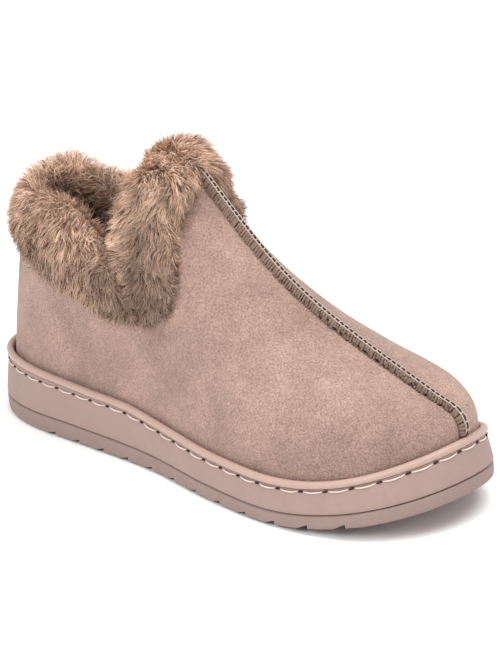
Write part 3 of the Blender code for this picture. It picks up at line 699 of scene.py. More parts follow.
def arcRows(inset, height, radius, start, end, steps):
    # rows round an edge of the sole; the angles are in degrees from outward
    rows = []
    for k in range(steps + 1):
        angle = math.radians(start + (end - start) * k / steps)

        def at(share, lift=radius * math.sin(angle)):
            return height(share) + lift

        rows.append((inset - radius * math.cos(angle), at))
    return rows


def cutNotches(lower):
    # saw-tooth notches in the tread's edge, each a ramp rising towards the toe and a step down
    cutters = []
    room = shoe["soleLength"] - tread["firstNotch"] - tread["lastNotch"]
    for n in range(int(room / tread["notchPitch"] + 1e-6) + 1):
        step = tread["firstNotch"] + n * tread["notchPitch"] - shoe["soleLength"] / 2
        start = step - tread["notchRamp"]
        floorStep, floorStart = float(groundAt(shareAt(step))), float(groundAt(shareAt(start)))
        for side in (-1, 1):
            deselectAll()
            bpy.ops.mesh.primitive_cube_add(size=1.0, location=(0, 0, 0))
            cutter = bpy.context.object
            box = readPoints(cutter.data)
            high, front = box[:, 2] > 0, box[:, 0] > 0
            top = np.where(front, floorStep + tread["notchDepth"], floorStart)
            z = np.where(high, top, floorStart - tread["cutterDepth"])
            y = side * float(halfWidth(side, shareAt(step))) + box[:, 1] * 2 * tread["notchReach"]
            writePoints(cutter.data, joined(np.where(front, step, start), y, z))
            cutters.append(cutter)
    deselectAll()
    for cutter in cutters:
        cutter.select_set(True)
    bpy.context.view_layer.objects.active = cutters[0]
    bpy.ops.object.join()
    applyModifier(lower, "BOOLEAN", operation="DIFFERENCE", object=cutters[0])
    bpy.data.objects.remove(cutters[0], do_unlink=True)


def shadeNotches(lower):
    # painted shade: the notches' ramps, steps and inner walls get a near black finish, as they lie in shadow
    lower.data.materials.clear()
    lower.data.materials.append(finishes["outsole"])
    lower.data.materials.append(finishes["treadPaintedShade"])
    first = tread["firstNotch"] - tread["notchRamp"]
    last = shoe["soleLength"] - tread["lastNotch"]
    for face in lower.data.polygons:
        x, y, z = face.center
        above = z - float(groundAt(shareAt(x)))
        within = tread["shadeFrom"] < above < tread["notchDepth"] + tread["shadePast"]
        innerWall = abs(face.normal.y) > tread["wallFacing"]
        innerWall = innerWall and abs(y) < float(halfWidth(y, shareAt(x))) - tread["notchReach"] / 2
        ramp, step = face.normal.z < tread["rampFacing"], abs(face.normal.x) > tread["stepFacing"]
        inRow = first < x + shoe["soleLength"] / 2 < last
        face.material_index = 1 if within and inRow and (ramp or step or innerWall) else 0


def buildLowerTier():
    edge, groove, grooveRadius = tread["edgeRadius"], tread["groove"], tread["grooveRadius"]
    profile = [(onSpine, partingAt), (groove, partingAt)]
    profile += arcRows(grooveRadius, lambda s: partingAt(s) - groove, grooveRadius, 60, 0, 2)
    profile += [(0.0, lambda s: 0.5 * partingAt(s) + 0.5 * groundAt(s) + tread["sideLift"])]
    profile += arcRows(edge, lambda s: groundAt(s) + edge, edge, 0, -90, 4)
    profile += [(onSpine, groundAt)]
    lower = wrapGrid(
        "soleLowerTier", tread["columns"], len(profile) - 1, tierPlace(profile), finishes["outsole"])
    cutNotches(lower)
    shadeNotches(lower)
    bpy.context.view_layer.objects.active = lower
    bpy.ops.object.shade_smooth_by_angle(angle=math.radians(tread["smoothUpTo"]))
    settle(lower, "sole_rubber", "outsole")


def buildUpperTier():
    groove, grooveRadius, topRadius = tread["groove"], tread["grooveRadius"], tread["topRadius"]

    def bottomAt(share):
        return partingAt(share) + shoe["clearance"]

    top = wallTopInset + topRadius
    profile = [(onSpine, creviceAt), (top + tread["topLedge"], creviceAt)]
    profile += arcRows(top, lambda s: creviceAt(s) - topRadius, topRadius, 90, 8, 4)
    for share in (0.8, 0.6, 0.4, 0.2):
        def wallAt(s, k=share):
            return (1 - k) * (bottomAt(s) + groove) + k * (creviceAt(s) - topRadius)

        profile.append((wallTopInset * share ** tread["wallCurve"], wallAt))
    profile += arcRows(grooveRadius, lambda s: bottomAt(s) + groove, grooveRadius, 0, -60, 2)
    profile += [(groove, bottomAt), (onSpine, bottomAt)]
    upper = wrapGrid(
        "soleUpperTier", tread["columns"], len(profile) - 1, tierPlace(profile), finishes["midsole"])
    settle(upper, "sole_rubber", "midsole")


# Welt: the stitched band with the piping bead along its top
welt = {
    "columns": 360, "bandSink": 0.0009, "bandLean": 0.0002, "creaseDepth": 0.0005, "creaseDrop": 0.80,
    "footDrop": 0.0008, "middleShare": 0.55, "paintedTo": 0.72, "lineHeight": 0.0001,
    "stitchPitch": 0.0112, "threadShown": 0.0090, "threadRadius": 0.00037, "threadInset": 0.0004,
    "threadBulge": 0.00060, "threadLift": 0.0001, "threadEnds": 0.55, "droop": 0.00028, "holeEnds": 0.12,
    "holeLength": 0.0024, "holeRadius": 0.00055, "holeInset": 0.0003, "holeLift": 0.0002, "holeSlope": 0.0003,
}
bandFace = shoe["wallFlare"] - shoe["beadRadius"] + welt["bandSink"]


def buildPiping():
    flare, bead = shoe["wallFlare"], shoe["beadRadius"]
    share = welt["middleShare"]

    def footAt(s):
        return creviceAt(s) - welt["footDrop"]

    def middleAt(s):
        return creviceAt(s) * (1 - share) + (beadLine(s) - bead) * share

    section = [(flare + bead, footAt), (bandFace, footAt)]
    section += [(bandFace - welt["bandLean"], middleAt)]
    section += [(bandFace + welt["creaseDepth"], lambda s: beadLine(s) - bead * welt["creaseDrop"])]
    section += arcRows(flare, beadLine, bead, -42, 129, 9)
    section += [(flare + bead, beadLine), (flare + bead, footAt)]
    ring = wrapGrid(
        "weltPiping", welt["columns"], len(section) - 1, tierPlace(section), finishes["piping"])

    # painted shade: the band below the bead takes the midsole's darker colour, for the shade under the bead
    ring.data.materials.append(finishes["midsole"])
    for face in ring.data.polygons:
        beadBottom = float(beadLine(shareAt(face.center.x))) - welt["paintedTo"] * bead
        face.material_index = 1 if face.center.z < beadBottom else 0
    settle(ring, "piping", "welt")


def buildWeltStitches():
    # even steps round the band for its stitches
    turns = np.linspace(0, 2, 2001)
    plan, _ = outlineAt(turns, np.full(len(turns), bandFace))
    run = runAlong(plan)
    count = int(round(run[-1] / welt["stitchPitch"]))
    starts = (np.arange(count) + 0.5) * run[-1] / count

    def inCrevice(places, inset, lift):
        at = np.interp(np.mod(places, run[-1]), run, turns)
        plan, _ = outlineAt(at, inset)
        return joined(plan[..., 0], plan[..., 1], creviceAt(shareOf(at)) + welt["lineHeight"] + lift)

    t = np.linspace(-0.5, 0.5, 9)
    places = starts[:, None] + t[None, :] * welt["threadShown"]
    arch = np.cos(math.pi * t)[None, :]
    inset = wallTopInset + welt["threadInset"] - welt["threadBulge"] * arch + 0 * places
    paths = inCrevice(places, inset, welt["threadLift"] - welt["droop"] * arch)
    ends = welt["threadEnds"]
    radii = welt["threadRadius"] * (ends + (1 - ends) * np.cos(math.pi * t) ** 0.5)
    settle(bentRods("weltStitches", paths, radii[None, :], finishes["thread"]), "piping", "welt")

    # dark plugs between the stitches, painted shade for the holes the thread goes into
    t = np.linspace(-0.5, 0.5, 5)
    places = starts[:, None] + run[-1] / count / 2 + t[None, :] * welt["holeLength"]
    inset = np.full(places.shape, wallTopInset + welt["holeInset"])
    paths = inCrevice(places, inset, welt["holeLift"] + welt["holeSlope"] * t[None, :])
    radii = roundEnds(welt["holeRadius"], t, welt["holeEnds"])
    settle(bentRods("weltHoleShades", paths, radii[None, :], finishes["holeShade"]), "piping", "welt")


# Upper: soft creases and swells, given one by one. From and to are places (turn, height) on the skin.
upperForms = (
    # from, to, half width, depth (troughs below nought), in metres
    ((0.438, 0.07), (0.420, 0.24), 0.0022, 0.0004),
    ((0.215, 0.08), (0.235, 0.40), 0.0060, -0.0005),
    ((0.340, 0.08), (0.345, 0.30), 0.0080, -0.0006),
    ((0.440, 0.30), (0.480, 0.46), 0.0090, -0.0007),
    ((0.560, 0.52), (0.640, 0.60), 0.0080, -0.0006),
    ((0.600, 0.30), (0.700, 0.36), 0.0100, 0.0006),
    ((0.780, 0.40), (0.840, 0.52), 0.0080, -0.0004),
    ((1.740, 0.08), (1.720, 0.42), 0.0060, 0.0006),
    ((1.640, 0.12), (1.610, 0.40), 0.0080, -0.0006),
    ((1.480, 0.30), (1.430, 0.50), 0.0090, -0.0006),
    ((1.300, 0.35), (1.200, 0.42), 0.0090, 0.0005),
)


# Where the nap is brushed darker or lighter: turn, height, half width, change of tone
napSmudges = (
    (0.475, 0.36, 0.010, -0.10), (0.505, 0.25, 0.011, -0.08), (0.570, 0.72, 0.007, -0.10),
    (0.625, 0.82, 0.006, -0.09), (0.595, 0.65, 0.007, -0.06), (0.578, 0.16, 0.009, -0.09),
    (0.345, 0.10, 0.009, -0.08), (0.285, 0.48, 0.010, -0.08), (0.535, 0.74, 0.008, -0.07),
    (0.428, 0.15, 0.006, 0.07), (0.672, 0.40, 0.020, 0.05), (0.763, 0.53, 0.020, 0.06),
    (0.800, 0.14, 0.016, -0.13), (0.863, 0.16, 0.010, -0.10), (0.390, 0.42, 0.010, 0.04),
    (0.690, 0.10, 0.012, -0.09), (1.500, 0.30, 0.012, -0.08), (1.360, 0.55, 0.014, 0.05),
    (1.250, 0.20, 0.013, -0.07), (1.660, 0.40, 0.011, -0.06), (1.820, 0.30, 0.010, 0.04),
    (1.120, 0.55, 0.016, 0.10), (1.200, 0.70, 0.014, 0.08), (1.050, 0.32, 0.012, 0.06),
)
upperGrid = {"columns": 500, "rows": 44, "edgeEase": 0.08}


def formRelief(points):
    relief = np.zeros(len(points))
    for start, end, width, depth in upperForms:
        a, b = skinAt(np.array([start[0], end[0]]), np.array([start[1], end[1]]))
        along = (points - a) @ (b - a) / ((b - a) @ (b - a))
        near = a + np.clip(along, 0, 1)[:, None] * (b - a)
        relief += depth * np.exp(-(np.linalg.norm(points - near, axis=1) / width) ** 2)
    return relief


def buildUpper():
    def place(u, v):
        turn = 2 * u
        height = v * keptHeight(turn)
        points = skinAt(turn, height)
        ease = smoothStep(v / upperGrid["edgeEase"]) * smoothStep((1 - v) / upperGrid["edgeEase"])
        return points + skinOut(turn, height) * (formRelief(points) * ease)[:, None]

    upper = wrapGrid("suedeUpper", upperGrid["columns"], upperGrid["rows"], place, finishes["suede"])
    points = readPoints(upper.data)
    shade = np.ones(len(points))
    for turn, height, width, tone in napSmudges:
        middle = skinAt(turn, height)
        shade += tone * np.exp(-(np.linalg.norm(points - middle, axis=1) / width) ** 2)
    addLayer(upper.data, "napShade", shade)
    upper.data.materials.append(finishes["fleece"])
    applyModifier(
        upper, "SOLIDIFY", thickness=shoe["upperWall"], offset=-1.0, use_even_offset=False, material_offset=1)
    settle(upper, "suede", "upper")


# Footbed: the dish is its rows' distance from the edge and their share of the dish's depth
insole = {
    "columns": 200, "gapToUpper": 0.0016, "thick": 0.0050, "cup": 0.0015, "edgeRadius": 0.0015,
    "dish": ((0.020, 1.0), (0.010, 0.7), (0.004, 0.2)),
}


def buildInsole():
    edge = upperInset + shoe["upperWall"] + insole["gapToUpper"]
    radius = insole["edgeRadius"]

    def topAt(lowered):
        return lambda share: seatAt(share) + insole["thick"] - insole["cup"] * lowered

    def bottomAt(share):
        return seatAt(share) + shoe["clearance"]

    profile = [(onSpine, topAt(1.0))]
    profile += [(edge + fromEdge, topAt(lowered)) for fromEdge, lowered in insole["dish"]]
    profile += arcRows(edge + radius, lambda s: seatAt(s) + insole["thick"] - radius, radius, 90, 0, 3)
    profile += [(edge, bottomAt), (onSpine, bottomAt)]
    footbed = wrapGrid(
        "fleeceFootbed", insole["columns"], len(profile) - 1, tierPlace(profile), finishes["fleece"])
    settle(footbed, "fleece", "insole")


# Vamp seam: a raised core with overcast wraps down both flanks and a laced line along its top
seam = {
    "startRib": 0.545, "endOnToe": 0.15, "pitch": 0.0026, "pointsPerStitch": 8,
    "height": 0.0027, "coreWidth": 0.0024, "rootDepth": 0.0012, "endHeight": 0.45, "endTaper": 1.2,
    "wrapFoot": 0.0021, "probeHeight": 0.006, "probeReach": 0.02, "slant": 0.0007, "slantSpread": 0.0003,
    "strandRadius": 0.00070, "radiusSpread": 0.15, "strandGap": 0.00118, "steerSpread": 0.00012,
    "jitter": 0.00008, "edgeRadius": 0.00028, "edgeAt": 0.72, "edgeLift": 0.00022, "edgeWave": 0.00010,
    "holeLength": 0.0015, "holeRadius": 0.00058, "holeLift": 0.00012, "holeEnds": 0.15, "seed": 5,
    "barRadius": 0.000308, "barReach": 0.8, "barLift": 0.00030, "barSag": 0.00012,
}
# The core's section: across as a share of half its width, up as a share of its height, None under the skin
seamSection = (
    (-1.0, None), (-1.0, 0.55), (-0.8, 0.92), (-0.3, 1.0), (0.3, 1.0), (0.8, 0.92), (1.0, 0.55),
    (1.0, None), (0.0, None), (-1.0, None),
)
# A wrap from its foot to the top: shares of the foot's reach and of the rise, lift, share of slant, thickness
wrapSteps = (
    (1.00, 0.00, 0.0001, -0.40, 0.75), (0.93, 0.10, 0.0, -0.30, 0.95), (0.80, 0.42, 0.0, -0.15, 1.0),
    (0.64, 0.74, 0.0, 0.00, 1.0), (0.48, 0.93, 0.0, 0.12, 0.9), (0.36, 0.98, 0.0, 0.20, 0.6),
)


def seamLine():
    # the seam's line on the skin, from the collar down the front of the toe, and the run along it
    ribs = np.linspace(seam["startRib"], 1.0, 400)
    heights = np.linspace(1.0, seam["endOnToe"], 100)[1:]
    turns = np.concatenate([ribs, np.ones(len(heights))])
    line = skinAt(turns, np.concatenate([np.ones(len(ribs)), heights]))
    return line, runAlong(line)


def seamFrames(line, run, count):
    places = np.linspace(0, run[-1], count)
    points = np.stack([np.interp(places, run, line[:, axis]) for axis in range(3)], axis=-1)
    along = unit(np.gradient(points, axis=0))
    over = unit(np.cross(along, joined(0.0, np.ones(count), 0.0)))
    over = over * np.where(over[:, 2:3] + over[:, 0:1] < 0, -1.0, 1.0)
    return points, along, over


def footDepths(skin, points, over, side):
    # how far the skin has fallen away beside the ridge, so that the wraps' feet reach it
    depths = []
    for p, o in zip(points, over):
        start = Vector(p + np.array((0, side * seam["wrapFoot"], 0)) + o * seam["probeHeight"])
        hit = skin.ray_cast(start, Vector(-o), seam["probeReach"])[3]
        depths.append(seam["probeHeight"] - hit if hit is not None else 0.0)
    depths = np.array(depths)
    for _ in range(6):
        depths[1:-1] = (depths[:-2] + 2 * depths[1:-1] + depths[2:]) / 4
    return depths


def addCore(points, across, over, lift):
    def place(u, v):
        at = np.rint(u * (len(points) - 1)).astype(int)
        row = np.rint(v * (len(seamSection) - 1)).astype(int)
        made = np.zeros((len(u), 3))
        for k, (side, up) in enumerate(seamSection):
            rise = np.full(len(points), -seam["rootDepth"]) if up is None else lift * up
            line = points + across * side * (seam["coreWidth"] / 2) + over * rise[:, None]
            made = np.where((row == k)[:, None], line[at], made)
        return made

    core = wrapGrid("seamCore", len(points) - 1, len(seamSection) - 1, place, finishes["seamCore"])
    setMode(core, "EDIT")
    bpy.ops.mesh.select_all(action="DESELECT")
    bpy.ops.mesh.select_non_manifold()
    bpy.ops.mesh.fill()
    turnOutward(core)
    settle(core, "seam_thread", "vamp_seam")


def addWraps(name, side, foot, lift, points, along, across, over, rng):
    # two strands a stitch, from the foot on the suede over the flank to the top line
    stitches = len(points)
    paths, radii = [], []
    for strand in (-0.5, 0.5):
        slant = seam["slant"] + seam["slantSpread"] * rng.standard_normal(stitches)
        steer = (strand * seam["strandGap"] + seam["steerSpread"] * rng.standard_normal(stitches))[:, None]
        line = []
        for out, up, extra, shift, _ in wrapSteps:
            rise = foot * (1 - up) + lift * up + extra
            sideways = across * side * seam["wrapFoot"] * out + over * rise[:, None]
            jitter = seam["jitter"] * rng.standard_normal((stitches, 3))
            line.append(points + sideways + along * (steer - (shift * slant)[:, None]) + jitter)
        paths.append(np.stack(line, axis=1))
        spread = 1 + seam["radiusSpread"] * rng.standard_normal((stitches, 1))
        radii.append(seam["strandRadius"] * spread * np.array([step[-1] for step in wrapSteps]))
    wraps = bentRods(name, np.concatenate(paths), np.concatenate(radii), finishes["wrap"], sides=7)
    settle(wraps, "seam_thread", "vamp_seam")


def buildSeam():
    line, run = seamLine()
    fine = seam["pointsPerStitch"]
    stitches = int(run[-1] / seam["pitch"])
    points, along, over = seamFrames(line, run, stitches * fine + 1)
    across = joined(0.0, np.ones(len(points)), 0.0)
    half = seam["coreWidth"] / 2
    fromEnd = np.minimum(np.arange(len(points)), np.arange(len(points))[::-1])
    ends = smoothStep(fromEnd / (seam["endTaper"] * fine))
    lift = seam["height"] * (seam["endHeight"] + (1 - seam["endHeight"]) * ends)
    addCore(points, across, over, lift)

    skin = surfaceOf(bpy.data.objects["suedeUpper"].data)
    middles = np.arange(stitches) * fine + fine // 2
    rng = np.random.default_rng(seam["seed"])
    for side, name in ((-1, "seamWrapsInner"), (1, "seamWrapsOuter")):
        foot = footDepths(skin, points, over, side)[middles]
        frames = (points[middles], along[middles], across[middles], over[middles])
        addWraps(name, side, foot, lift[middles], *frames, rng)

    # the two cut edges along the top, dark plugs between them as painted shade for the holes, and the threads
    # across
    wave = seam["edgeWave"] * np.sin(np.arange(len(points)) * 2 * math.pi / fine)
    rise = (lift + seam["edgeLift"] + wave)[:, None]
    for side, name in ((-1, "seamEdgeInner"), (1, "seamEdgeOuter")):
        path = points + across * side * (half * seam["edgeAt"]) + over * rise
        rail = bentRods(name, path[None, 2:-2], seam["edgeRadius"], finishes["seamEdge"])
        settle(rail, "seam_thread", "vamp_seam")
    t = np.linspace(-0.5, 0.5, 5)
    paths = points[middles, None] + along[middles, None] * (seam["holeLength"] * t)[None, :, None]
    paths = paths + over[middles, None] * (lift[middles, None, None] + seam["holeLift"])
    radii = roundEnds(seam["holeRadius"], t, seam["holeEnds"])
    settle(bentRods("seamHoleShades", paths, radii[None, :], finishes["holeShade"]), "seam_thread", "vamp_seam")
    between = middles[:-1] + fine // 2
    t = np.linspace(-1, 1, 5)
    paths = points[between, None] + across[between, None] * (half * seam["barReach"] * t)[None, :, None]
    sag = (seam["barLift"] - seam["barSag"] * t**2)[None, :, None]
    paths = paths + over[between, None] * (lift[between, None, None] + sag)
    bars = bentRods("seamTopThreads", paths, seam["barRadius"], finishes["seamEdge"])
    settle(bars, "seam_thread", "vamp_seam")


# Fur
furLook = {
    "roughness": 0.75, "gloss": 0.2, "rootEnd": 0.12, "middleAt": 0.55, "tipFrom": 0.95,
    "patchScale": 70.0, "patch": 0.14, "grainScale": 500.0, "grain": 0.04,
}


def furFinish(name, tones):
    # root, middle and tip colours along each hair, times each hair's own tone, which also carries the fur's
    # painted light and shade
    made, shader = newSurface(name, furLook["roughness"], furLook["gloss"], tones["sheen"], tones["tip"])
    tree = made.node_tree
    ramp = tree.nodes.new("ShaderNodeValToRGB")
    root, tip = ramp.color_ramp.elements[0], ramp.color_ramp.elements[1]
    root.color, root.position = (*tones["root"], 1), furLook["rootEnd"]
    tip.color, tip.position = (*tones["tip"], 1), furLook["tipFrom"]
    ramp.color_ramp.elements.new(furLook["middleAt"]).color = (*tones["middle"], 1)
    tree.links.new(layerNode(tree, "alongHair"), ramp.inputs["Fac"])
    patchy = patchyNode(tree, furLook)
    tone = mathNode(tree, "MULTIPLY", layerNode(tree, "hairToneAndShade"), patchy.outputs["Tone"])
    tree.links.new(timesTone(tree, ramp.outputs["Color"], tone), shader.inputs["Base Color"])
    return made


furFinishes = {
    "Under": furFinish("tanUnderFur", {
        "root": (0.40, 0.262, 0.190), "middle": (0.665, 0.428, 0.303), "tip": (0.84, 0.575, 0.43),
        "sheen": 0.2,
    }),
    "Over": furFinish("tanTopFur", {
        "root": (0.46, 0.305, 0.222), "middle": (0.73, 0.480, 0.348), "tip": (0.90, 0.65, 0.50),
        "sheen": 0.25,
    }),
}


def merged(node, name):
    # a copy of a CAD node's mesh with its loose triangles joined
    copy = addObject(name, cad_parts[node].data.copy())
    deselectAll()
    copy.select_set(True)
    setMode(copy, "EDIT")
    bpy.ops.mesh.select_all(action="SELECT")
    bpy.ops.mesh.remove_doubles(threshold=cadWeldGap)
    setMode(copy, "OBJECT")
    return copy


def softNoise(points, scale, seed):
    # smooth vectors that drift over about scale metres
    rng = np.random.default_rng(seed)
    total = np.zeros_like(points)
    for _ in range(7):
        wave = rng.standard_normal((3, 3))
        reach = rng.uniform(0.6, 1.5, (3, 1)) * 2 * math.pi / scale
        wave = wave / np.linalg.norm(wave, axis=1, keepdims=True) * reach
        total += np.sin(points @ wave.T + rng.uniform(0, 2 * math.pi, 3))
    return total / math.sqrt(7)


shaftGrid = {"columns": 260, "rows": 14, "fromHeight": 0.5, "lastRib": 0.56, "stepDown": 0.02}


def shaftFrames():
    # outward, upward and onward directions of the shaft near its top edge, found by the nearest place
    around = np.linspace(0, 2, shaftGrid["columns"], endpoint=False)
    upwards = np.linspace(shaftGrid["fromHeight"], 1.0, shaftGrid["rows"])
    turns, levels = np.meshgrid(around, upwards, indexing="ij")
    keep = ribOf(turns) <= shaftGrid["lastRib"]
    turns, levels = turns[keep], levels[keep]
    heights = keptHeight(turns) * levels
    places = skinAt(turns, heights)
    out = skinOut(turns, heights)
    up = unit(places - skinAt(turns, heights - shaftGrid["stepDown"]))
    up = unit(up - out * (up * out).sum(axis=1, keepdims=True))
    towardsToe = unit(np.cross(out, up)) * sideOf(turns)[:, None]
    return nearestTree(places), out, up, towardsToe


# Habits that every hair shares, as shares of its length, width, pull or tone
hair = {
    "combSpread": 0.38, "lengthSpread": 0.20, "strayLength": 1.3, "lengthDrift": 0.14, "driftScale": 0.012,
    "startUp": 0.35, "endOver": 0.25, "droop": 0.18, "lockAt": 0.3, "pullSpread": 0.35, "strayPull": 0.25,
    "lockSpread": 0.12, "facingSpread": 0.8, "widthSpread": 0.25,
    "lockTone": 0.08, "wideTone": 0.08, "wideScale": 0.030, "fineTone": 0.13, "fineScale": 0.009,
    "fineSeed": 5, "pileLight": 0.80, "ownLight": 0.30, "alongLight": 0.25, "lightSpread": 0.12,
}
# The pile of each lobe: a dense short undercoat and finer, longer hairs through it
furLayers = {
    "Under": {"hairs": 39500, "length": 0.0054, "width": 0.00021, "perLock": 12, "gather": 0.16,
              "strays": 0.03, "unruly": 12.0, "toneSpread": 0.08},
    "Over": {"hairs": 39500, "length": 0.0070, "width": 0.00012, "perLock": 16, "gather": 0.20,
             "strays": 0.06, "unruly": 13.0, "toneSpread": 0.09},
}
furBase = {
    "sink": 0.0036, "flatTo": 0.0018, "freeFrom": 0.0015, "freeOver": 0.0020, "topOver": 0.010,
    "swirl": 0.62, "swirlScale": 0.013, "bareTo": 0.0004, "fullLengthAt": 0.0050, "rimLength": 0.66,
    "lieOutside": 50.0, "standTop": 36.0, "lieInside": 42.0, "edgeShorter": 0.25,
    "edgeFrom": 0.45, "edgeOver": 0.4, "driftOver": 0.012, "crestAt": 0.85, "facesAlong": 0.2,
}
# The front lobe's own parting: its place along the shoe, how wide, deep and high it is, and its shading
parting = {
    "at": -0.0180, "width": 0.0040, "depth": 0.0026, "baseTop": 0.098, "combTop": 0.104, "topOver": 0.012,
    "gapFrom": 0.004, "gapOver": 0.003, "comb": 1.1, "toeSide": 0.6, "reach": 2.2,
    "dark": 0.42, "toeDark": 0.30,
}
# Painted light and shade: paler round the top of the fold and darker low down. Also darker in tufts, with a
# dark belt on the back lobe
furShade = {
    "low": 0.68, "gain": 0.40, "from": 0.068, "over": 0.040,
    "tuftScale": 0.011, "tuftSeed": 21, "tuftFrom": 0.55, "tuftOver": 0.9, "tuftDark": 0.30,
    "beltAt": 0.084, "beltWidth": 0.011, "beltDark": 0.22,
}
# Each lobe: its share of the hairs, seed and drift to the notch. Its base is sunk near the top by topSink
# (across, outer side positive, and sink in metres) and below it, where it looks along the shaft, by
# towardsToe and towardsHeel; the latter grows in from heelFrom over heelOver.
lobeShape = {
    "back": {
        "node": "cuff_back", "onward": 1.0, "share": 1.0, "seed": 11, "drift": 0.70, "top": 0.100,
        "towardsToe": 0.0036, "towardsHeel": 0.0036, "heelFrom": 0.074, "heelOver": 0.010, "topSink": (
            (-0.012, 0.0038), (-0.002, 0.0030), (0.004, 0.0010), (0.0085, -0.0006), (0.0135, -0.0012),
            (0.0165, -0.0004), (0.0190, 0.0012), (0.0225, 0.0034), (0.040, 0.0036)),
    },
    "front": {
        "node": "cuff_front", "onward": -1.0, "share": 0.82, "seed": 23, "drift": 0.15, "top": 0.112,
        "towardsToe": 0.0040, "towardsHeel": -0.0036, "heelFrom": 0.074, "heelOver": 0.010, "topSink": (
            (-0.034, -0.0010), (-0.020, -0.0040), (-0.010, -0.0002), (-0.004, 0.0014), (0.001, 0.0024),
            (0.003, 0.0022), (0.005, 0.0012), (0.011, 0.0006), (0.013, -0.0004), (0.016, -0.0002),
            (0.019, 0.0040), (0.024, 0.0056), (0.034, 0.0050)),
    },
}


def scatterRoots(base, count, keep, rng):
    # places spread evenly over the base where keep(centres) lets them grow, and the base's normals there
    mesh = base.data
    mesh.calc_loop_triangles()
    corners = np.empty(len(mesh.loop_triangles) * 3, int)
    mesh.loop_triangles.foreach_get("vertices", corners)
    corners = corners.reshape(-1, 3)
    points, normals = readPoints(mesh), readPoints(mesh, "normal")
    a, b, c = (points[corners[:, k]] for k in range(3))
    areas = np.linalg.norm(np.cross(b - a, c - a), axis=1) / 2
    areas = areas * keep((a + b + c) / 3)
    chosen = rng.choice(len(areas), count, p=areas / areas.sum())
    r1, r2 = np.sqrt(rng.random(count)), rng.random(count)
    weights = np.stack([1 - r1, r1 * (1 - r2), r1 * r2], axis=1)[..., None]
    roots = (points[corners[chosen]] * weights).sum(axis=1)
    return roots, unit((normals[corners[chosen]] * weights).sum(axis=1))


def hairPaths(roots, grain, lean, comb, length):
    # four points along each hair, which starts up from the base and bends over to lie along the comb
    angle = np.radians(np.clip(90 - lean, 5, 88))
    rise, level = np.sin(angle)[:, None], np.cos(angle)[:, None]
    over, fall = hair["endOver"], np.array((0, 0, -hair["droop"]))
    first = unit(grain * (rise + hair["startUp"]) + comb * level)
    last = unit(grain * (rise - over) + comb * (level + over) + fall)
    path = np.empty((len(roots), 4, 3))
    path[:, 0] = roots
    for k in range(3):
        way = unit(first * (1 - k / 2) + last * (k / 2))
        path[:, k + 1] = path[:, k] + way * (length / 3)[:, None]
    return path


def gatherLocks(path, rule, strays, rng):
    # each hair leans towards the lock it belongs to, which is given back
    count = len(path)
    roots = path[:, 0].copy()
    locks = rng.choice(count, max(8, int(count / rule["perLock"])), replace=False)
    middles = roots + hair["lockAt"] * (path[:, 3] - roots)
    owner = locks[nearest(nearestTree(middles[locks]), middles)]
    pull = np.clip(rule["gather"] * (1 + hair["pullSpread"] * rng.standard_normal(count)), 0, 0.95)
    pull = np.where(strays, pull * hair["strayPull"], pull)[:, None]
    tight = 0.75 + 0.5 * rng.random(count)[owner][:, None]
    lockSize = (1 + hair["lockSpread"] * rng.standard_normal(count))[owner][:, None]
    for k, share in ((1, 0.25), (2, 0.65), (3, 1.0)):
        goal = roots[owner] + (path[owner, k] - roots[owner]) * lockSize
        path[:, k] += (goal - path[:, k]) * np.clip(pull * share * tight, 0, 0.97)
    return owner


def bladeMesh(name, path, side, width):
    # a tapered blade of three faces along each hair
    count = len(path)
    blade = np.empty((count, 7, 3))
    for k, share in ((0, 0.5), (1, 0.48), (2, 0.34)):
        blade[:, 2 * k] = path[:, k] - side * width * share
        blade[:, 2 * k + 1] = path[:, k] + side * width * share
    blade[:, 6] = path[:, 3]
    mesh = bpy.data.meshes.new(name)
    mesh.vertices.add(count * 7)
    mesh.vertices.foreach_set("co", blade.ravel())
    pattern = np.array((0, 1, 3, 2, 2, 3, 5, 4, 4, 5, 6))
    mesh.loops.add(count * 11)
    mesh.loops.foreach_set("vertex_index", (np.arange(count)[:, None] * 7 + pattern).ravel())
    mesh.polygons.add(count * 3)
    mesh.polygons.foreach_set("loop_start", (np.arange(count)[:, None] * 11 + np.array((0, 4, 8))).ravel())
    mesh.polygons.foreach_set("loop_total", np.tile((4, 4, 3), count))
    mesh.update(calc_edges=True)
    addLayer(mesh, "alongHair", np.tile((0, 0, 0.34, 0.34, 0.68, 0.68, 1.0), count))

    # every hair has a cell of its own in a UV map
    cells = math.ceil(math.sqrt(count))
    corner = np.array(
        ((0.1, 0.05), (0.9, 0.05), (0.1, 0.35), (0.9, 0.35), (0.1, 0.65), (0.9, 0.65), (0.5, 0.95)))
    cell = np.stack([np.arange(count) % cells, np.arange(count) // cells], axis=1)
    spots = (cell[:, None] + corner[pattern][None]) / cells
    mesh.uv_layers.new(name="OFBake").uv.foreach_set("vector", spots.ravel().astype(np.float32))
    return mesh


